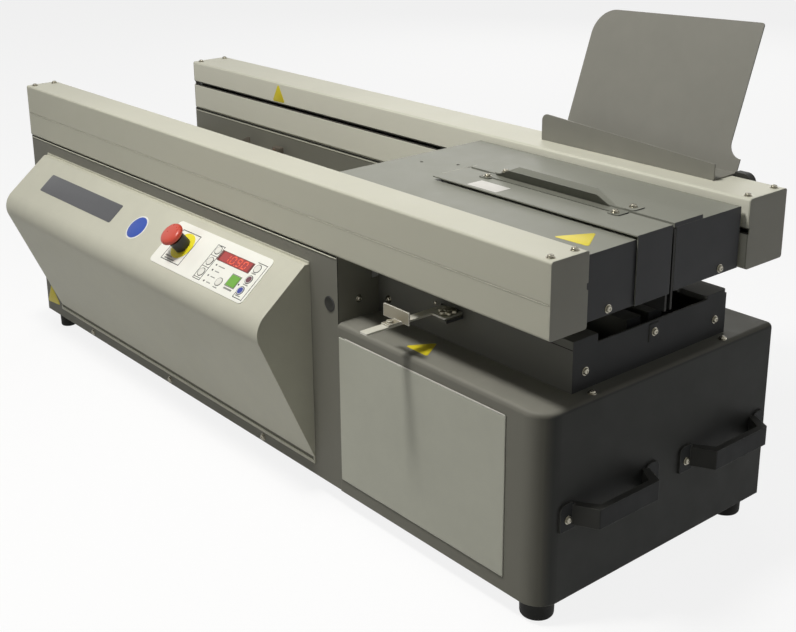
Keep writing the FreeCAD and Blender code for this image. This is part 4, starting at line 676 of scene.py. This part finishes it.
for x, s in ((832.5, 60.8), (832.5, 71.6), (832.5, 83.2), (832.5, 95), (916.5, 75.8)):
    prints.prism(disc(1.8, 20, (x, s)), PANEL, SUNK, FILM + 0.35, 0.2)
prints.band(rect(885, 62.2, 913, 87.2), 1.5, PANEL, SUNK, FILM + 0.12, mat=1)
prints.make("panel_print", "machine", [INK, INK_GRAY])

for key, s in (("key_stop", 60.8), ("key_reset", 83.6)):
    rim = Shape()
    rim.band(disc(7.15, 40, (930, s)), 1.1, PANEL, FILM + 0.5, FILM + 0.66)
    rim.make(key + "_rim", key, WHITE)

disc_ring = Shape()
estop = place(panel(716.5, 55.1), X, DOWN_SLOPE, OFF_SLOPE)
disc_ring.lathe([(15.8, FILM - 0.05), (26.5, FILM - 0.05), (26.5, FILM + 0.6),
                 (26.1, FILM + 0.8), (15.8, FILM + 0.8)], estop, 72, close=True)
disc_ring.make("estop_disc", "machine", DISC_YELLOW)
head = Shape()
head.lathe([(0.01, -8), (7.6, -8), (8, -7.6), (8, 30.1), (19, 30.2), (21.4, 31.0), (22.3, 32.6),
            (22.5, 34.4), (22.1, 36.3), (20.9, 38.1), (18.6, 39.5), (15, 40.5), (10, 41.1),
            (5, 41.4), (0.01, 41.5)], estop, 72)
head.make("estop_head", "estop", FINISHES["button_red"], replaces=["estop_button"])

digits = Shape()
SEGMENTS = {"0": "abcdef", "1": "bc", "9": "abcdfg"}
DIGITS = "1090"
DIGIT_PITCH = 17.0


def digit(shape, char, x, s, wide=9.8, tall=13.8, stroke=2.7):
    """A seven-segment figure with its top left corner at x, s."""
    half = tall / 2
    ends = {
        "a": ((0, 0), (wide, 0)), "g": ((0, half), (wide, half)), "d": ((0, tall), (wide, tall)),
        "f": ((0, 0), (0, half)), "e": ((0, half), (0, tall)),
        "b": ((wide, 0), (wide, half)), "c": ((wide, half), (wide, tall)),
    }
    for name in SEGMENTS[char]:
        p, q = (Vector(e) for e in ends[name])
        along = (q - p).normalized()
        across = Vector((-along.y, along.x)) * stroke / 2
        p, q = p + along * 0.35, q - along * 0.35
        tip = along * stroke / 2
        corners = [p, p + tip + across, q - tip + across, q, q - tip - across, p + tip - across]
        lean = [(x + c.x + (half - c.y) * 0.1, s + c.y) for c in corners]
        shape.prism(lean, PANEL, WINDOW, DIGIT_TOP)


for i, char in enumerate(DIGITS):
    digit(digits, char, 841 + DIGIT_PITCH * i, 35.0)
for i in range(len(DIGITS) - 1):
    point = disc(1.15, 16, (854.9 + DIGIT_PITCH * i, 49.6))
    digits.prism(point, PANEL, WINDOW, DIGIT_TOP)
digits.make("display_digits", "machine", DIGIT)
bezel = Shape()
bezel.band(rect(822.2, 31.6, 917.8, 52.2, 0.8, 3), 1.2, PANEL, SUNK, 1.5)
for x in (823.2, 912.6):
    bezel.prism(rect(x, 32.4, x + 4.2, 51.4), PANEL, WINDOW, 1.45)
bezel.make("display_frame", "machine", BEZEL)

# ---------------------------------------------------------------- plates and stickers
plate = Shape()
plate.prism(rect(167, 31.8, 469, 74.4, 4), PANEL, -0.05, 0.7, 0.3)
plate.make("nameplate", "machine", PLATE)
sign = Shape()
sign_place = place(panel(557.5, 59.6), X, DOWN_SLOPE, OFF_SLOPE)
sign.prism(disc(26.5, 64), sign_place, -0.05, 0.35, 0.1)
sign.prism(disc(23.3, 64), sign_place, 0.3, 0.42, 0.05, mat=1)
sign.make("round_sign", "machine", [WHITE, BLUE])

STICKERS = {
    "sticker_carriage": ("carriage", top_face(COVER_TOP), [(1446, 103), (1475, 158), (1507, 107)]),
    "sticker_base": ("machine", top_face(BASE_TOP), [(1230.5, 22), (1254.3, 65), (1281, 20.5)]),
    "sticker_rail": ("machine", front_face(BACK_RAIL_INNER), [(324, -43), (347, -3), (370, -42)]),
    "sticker_body": ("machine", front_face(BODY_FACE),
                     [(0.8, -496.5), (24.6, -450.5), (63, -490.5)]),
}
for name, (body, where, corners) in STICKERS.items():
    shape = Shape()
    shape.prism(rounded(corners, 3.2), where, -0.05, 0.3, 0.1)
    shape.make(name, body, YELLOW)

label = Shape()
label.prism(rect(1194, 180, 1257, 212, 1.0, 3), top_face(JAW_TOP), -0.05, 0.2, 0.05)
label.make("label_blank", "jaw", PAPER)

plug = Shape()
plug.lathe([(0.01, 0.9), (8.5, 0.9), (9.6, 1.3), (11.4, 1.6), (12.7, 0.9), (13, 0.0), (0.01, 0.0)],
           facing(at(1071, BODY_FACE, -192.7), -Y), 48)
plug.make("post_plug", "machine", FINISHES["inlet_plastic"])

# ---------------------------------------------------------------- trough sensors
sensors = Shape()
SENSOR_FOOT, SENSOR_SHEET = -160, 1.6
flag = place(at(0, TROUGH_WALL, SENSOR_FOOT), X, Z, -Y)
foot = place(at(0, TROUGH_WALL, SENSOR_FOOT), X, Y, Z)
bent = rounded([(224, 0), (257, 0), (257, 26.5), (250, 26.5), (224, 14)], [2, 2, 1.5, 3, 2])
sensors.prism(bent, flag, -SENSOR_SHEET, 0.0, 0.3)
sensors.prism(rect(224, 0, 257, 14, 2), foot, 0, SENSOR_SHEET, 0.3)
sensors.prism(rect(340, 0, 376, 1.6, 0.5), flag, -14, 0)
sensors.prism(rect(344, 1, 372, 22, 3), flag, -11, 0, 1.2, mat=1)
sensors.lathe([(0.01, 0), (5.4, 0), (5.4, 1.2), (4.6, 1.8), (0.01, 2)],
              facing(at(352, TROUGH_WALL, -146), -Y), 24, mat=2)
sensors.make("trough_sensors", "machine", [SENSOR, SENSOR, SENSOR_WINDOW])

# ---------------------------------------------------------------- seams and lips
# rubber lips above and below the guide slots, and a shelf inside each rail under its slot; the
# carriage's arms run between them. Their dark gray stands in for the shaded inside of the slots:
# painted shade.
LIP_LEFT, LIP_RIGHT = 2.4, 1537.6
lips = Shape()
for y, out_of_rail in ((BACK_RAIL_INNER, -1), (FRONT_RAIL_INNER, 1)):
    inner_face = place(at(0, y, 0), X, Z, Y * out_of_rail)
    for low, high in ((-46.7, -44.4), (-54.6, -52.4)):
        lips.prism(rect(LIP_LEFT, low, LIP_RIGHT, high), inner_face, -1.6, -0.5)
    shelf = sorted((y - out_of_rail * 2.2, y - out_of_rail * 9.5))
    lips.prism(rect(LIP_LEFT, shelf[0], LIP_RIGHT, shelf[1]), top_face(0), -56.2, -54.9)
lips.make("slot_lips_painted_shade", "machine", SLOT_SHADE_LIP)

# folded edges beside the seams, which catch the light; the shade in the joints under the rails and
# on the station's front wall; and under the rails, strips in the light rail paint that are painted
# highlights of the folds there
BODY_LEFT, BODY_RIGHT = 3, 1091
folds = Shape()
folds.prism(rect(2.5, -60.4, 1537.5, -58.9), front_face(FRONT_RAIL_FACE), -0.2, 0.45, 0.4)
folds.make("seam_fold", "machine", FINISHES["rail_coat"])
joints = Shape()
for low, y in ((-111.4, BODY_FACE), (-112, BACK_RAIL_INNER)):
    joints.prism(rect(BODY_LEFT, low, BODY_RIGHT, -109.1), front_face(y), -0.1, 0.25)
joints.prism(rect(1457.5, -155.7, 1506.5, -154.5), front_face(STATION_FACE), -0.1, 0.15)
joints.make("joint_shade", "machine", GAP_LINE)
# a strip in the light rail paint under the front rail: a painted highlight of the body panel's fold
trims = Shape()
trims.prism(rect(BODY_LEFT, -113.8, BODY_RIGHT, -111.9), front_face(BODY_FACE), -0.2, 1.3, 0.9)
trims.make("panel_fold_painted_highlight", "machine", FINISHES["rail_coat"])
# the same under the back rail, on the trough wall: a painted highlight of its fold
ledge = Shape()
ledge.prism(rect(BODY_LEFT, -116.4, BODY_RIGHT, -114), front_face(BACK_RAIL_INNER),
            -0.2, 0.9, 0.85)
ledge.make("trough_fold_painted_highlight", "machine", FINISHES["rail_coat"])

# the rear cover's short fold before the guides, in the light rail paint on the darker carriage: a
# painted highlight along its edge
fold = Shape()
fold.prism(rect(204, 1104.6, 287, 1106.2, 0.4), place(at(0, 0, COVER_TOP), Y, X, Z),
           -0.1, 0.8, 0.5)
fold.make("cover_fold_painted_highlight", "carriage", FINISHES["rail_coat"])

# the upper edge of the door, a near-white strip: a painted highlight line
door_edge = Shape()
door_edge.prism(rect(1112, -240.2, 1465.4, -238.3), front_face(DOOR_FACE), -0.1, 0.5, 0.45)
door_edge.make("door_edge", "door", EDGE_HIGHLIGHT_WHITE)

# a small screw on the station's front wall
wall_screw = Shape()
wall_screw.lathe([(0.01, 0), (3.1, 0), (3.2, 0.3), (3.1, 1.2), (2.4, 1.9), (1.2, 2.2),
                  (0.01, 2.25)], facing(at(1229.1, STATION_FACE, -166.2), -Y), 28)
wall_screw.make("wall_screw", "machine", FINISHES["screw_nickel"])

# ---------------------------------------------------------------- stage
bpy.ops.mesh.primitive_plane_add(size=80, location=(0, 0, -0.0002))
floor = bpy.context.object
floor.name = "floor"


def shader(tree, kind, *values):
    """A new node with its first inputs set."""
    made = tree.nodes.new(kind)
    for socket, value in zip(made.inputs, values):
        socket.default_value = value
    return made


def larger(tree, a, b):
    made = tree.nodes.new("ShaderNodeMath")
    made.operation = "MAXIMUM"
    tree.links.new(a, made.inputs[0])
    tree.links.new(b, made.inputs[1])
    return made.outputs[0]


def by_sight(tree, other, seen, out):
    """Shows seen to the camera, in reflections and through clear parts, and other to all else."""
    path = tree.nodes.new("ShaderNodeLightPath").outputs
    direct = larger(tree, larger(tree, path["Is Camera Ray"], path["Is Glossy Ray"]),
                    path["Is Transmission Ray"])
    mixed = tree.nodes.new("ShaderNodeMixShader")
    tree.links.new(direct, mixed.inputs[0])
    tree.links.new(other.outputs[0], mixed.inputs[1])
    tree.links.new(seen.outputs[0], mixed.inputs[2])
    tree.links.new(mixed.outputs[0], out.inputs[0])


ground = bpy.data.materials.new("floor_pale")
ground.use_nodes = True
tree = ground.node_tree
tree.nodes.clear()
out = tree.nodes.new("ShaderNodeOutputMaterial")
bounce = shader(tree, "ShaderNodeBsdfDiffuse", (0.5, 0.5, 0.49, 1))
lit = shader(tree, "ShaderNodeBsdfDiffuse", (0.16, 0.16, 0.16, 1))
white = shader(tree, "ShaderNodeEmission", (1, 1, 1, 1), 0.86)
both = tree.nodes.new("ShaderNodeAddShader")
tree.links.new(lit.outputs[0], both.inputs[0])
tree.links.new(white.outputs[0], both.inputs[1])
by_sight(tree, bounce, both, out)
floor.data.materials.append(ground)

world = bpy.data.worlds.new("studio")
bpy.context.scene.world = world
world.use_nodes = True
tree = world.node_tree
tree.nodes.clear()
out = tree.nodes.new("ShaderNodeOutputWorld")
dim = shader(tree, "ShaderNodeBackground", (1, 1, 1, 1), 0.045)
bright = shader(tree, "ShaderNodeBackground", (1, 1, 1, 1), 1.0)
by_sight(tree, dim, bright, out)


def lamp(name, azimuth, elevation, distance, size, level, colour=(1, 1, 1), aim=(0, 0, 0.35)):
    """A square soft light. level is what a white card facing it at aim would send back."""
    data = bpy.data.lights.new(name, "AREA")
    data.shape, data.size = "SQUARE", size
    data.energy = level * math.pi ** 2 * distance ** 2
    data.color = colour
    piece = bpy.data.objects.new(name, data)
    bpy.context.scene.collection.objects.link(piece)
    a, e = math.radians(azimuth), math.radians(elevation)
    back = Vector((math.sin(a) * math.cos(e), -math.cos(a) * math.cos(e), math.sin(e)))
    piece.location = Vector(aim) + back * distance
    piece.rotation_mode = "QUATERNION"
    piece.rotation_quaternion = (-back).to_track_quat("-Z", "Y")


WARM = (1.0, 0.985, 0.95)
lamp("key", 2, 65, 2.3, 0.28, 0.55, WARM, (0.2, 0, 0.35))
lamp("key_soft", -28, 66, 2.6, 0.7, 0.24, WARM, (0.35, 0, 0.35))
lamp("front_fill", -6, 7, 3.6, 1.2, 0.075, WARM)
lamp("left_front", -60, 35, 3.6, 1.6, 0.03, WARM)
lamp("back_right", 125, 22, 1.3, 0.5, 0.05, WARM, (0.76, 0.25, 0.4))
lamp("rear_rim", -145, 24, 4.6, 2.4, 0.16, WARM)

# ---------------------------------------------------------------- camera
# the frame, the focal length and the point that the lens looks at straight, in pixels
FRAME_WIDTH, FRAME_HEIGHT, FOCAL = 796, 632, 1260.2
CENTRE_X, CENTRE_Y = 370.0, 231.2
FILM_WIDTH = 36  # millimetres
CAMERA_PLACE = (2560.04, -1111.09, 525.89)
AZIMUTH, ELEVATION, ROLL = math.radians(51.22), math.radians(17.88), math.radians(-0.86)
back = Vector((math.sin(AZIMUTH) * math.cos(ELEVATION), -math.cos(AZIMUTH) * math.cos(ELEVATION),
               math.sin(ELEVATION)))
right = Z.cross(back).normalized()
up = back.cross(right)
right, up = (right * math.cos(ROLL) + up * math.sin(ROLL),
             up * math.cos(ROLL) - right * math.sin(ROLL))
data = bpy.data.cameras.new("camera")
camera = bpy.data.objects.new("camera", data)
bpy.context.scene.collection.objects.link(camera)
camera.matrix_world = Matrix((
    (right.x, up.x, back.x, 0), (right.y, up.y, back.y, 0), (right.z, up.z, back.z, 0),
    (0, 0, 0, 1)))
camera.location = at(*CAMERA_PLACE)
data.sensor_fit, data.sensor_width = "HORIZONTAL", FILM_WIDTH
data.lens = FOCAL * FILM_WIDTH / FRAME_WIDTH
data.shift_x = (FRAME_WIDTH / 2 - CENTRE_X) / FRAME_WIDTH
data.shift_y = -(FRAME_HEIGHT / 2 - CENTRE_Y) / FRAME_WIDTH
data.clip_start, data.clip_end = 0.05, 200
bpy.context.scene.camera = camera
bpy.context.scene.view_settings.view_transform = "Standard"
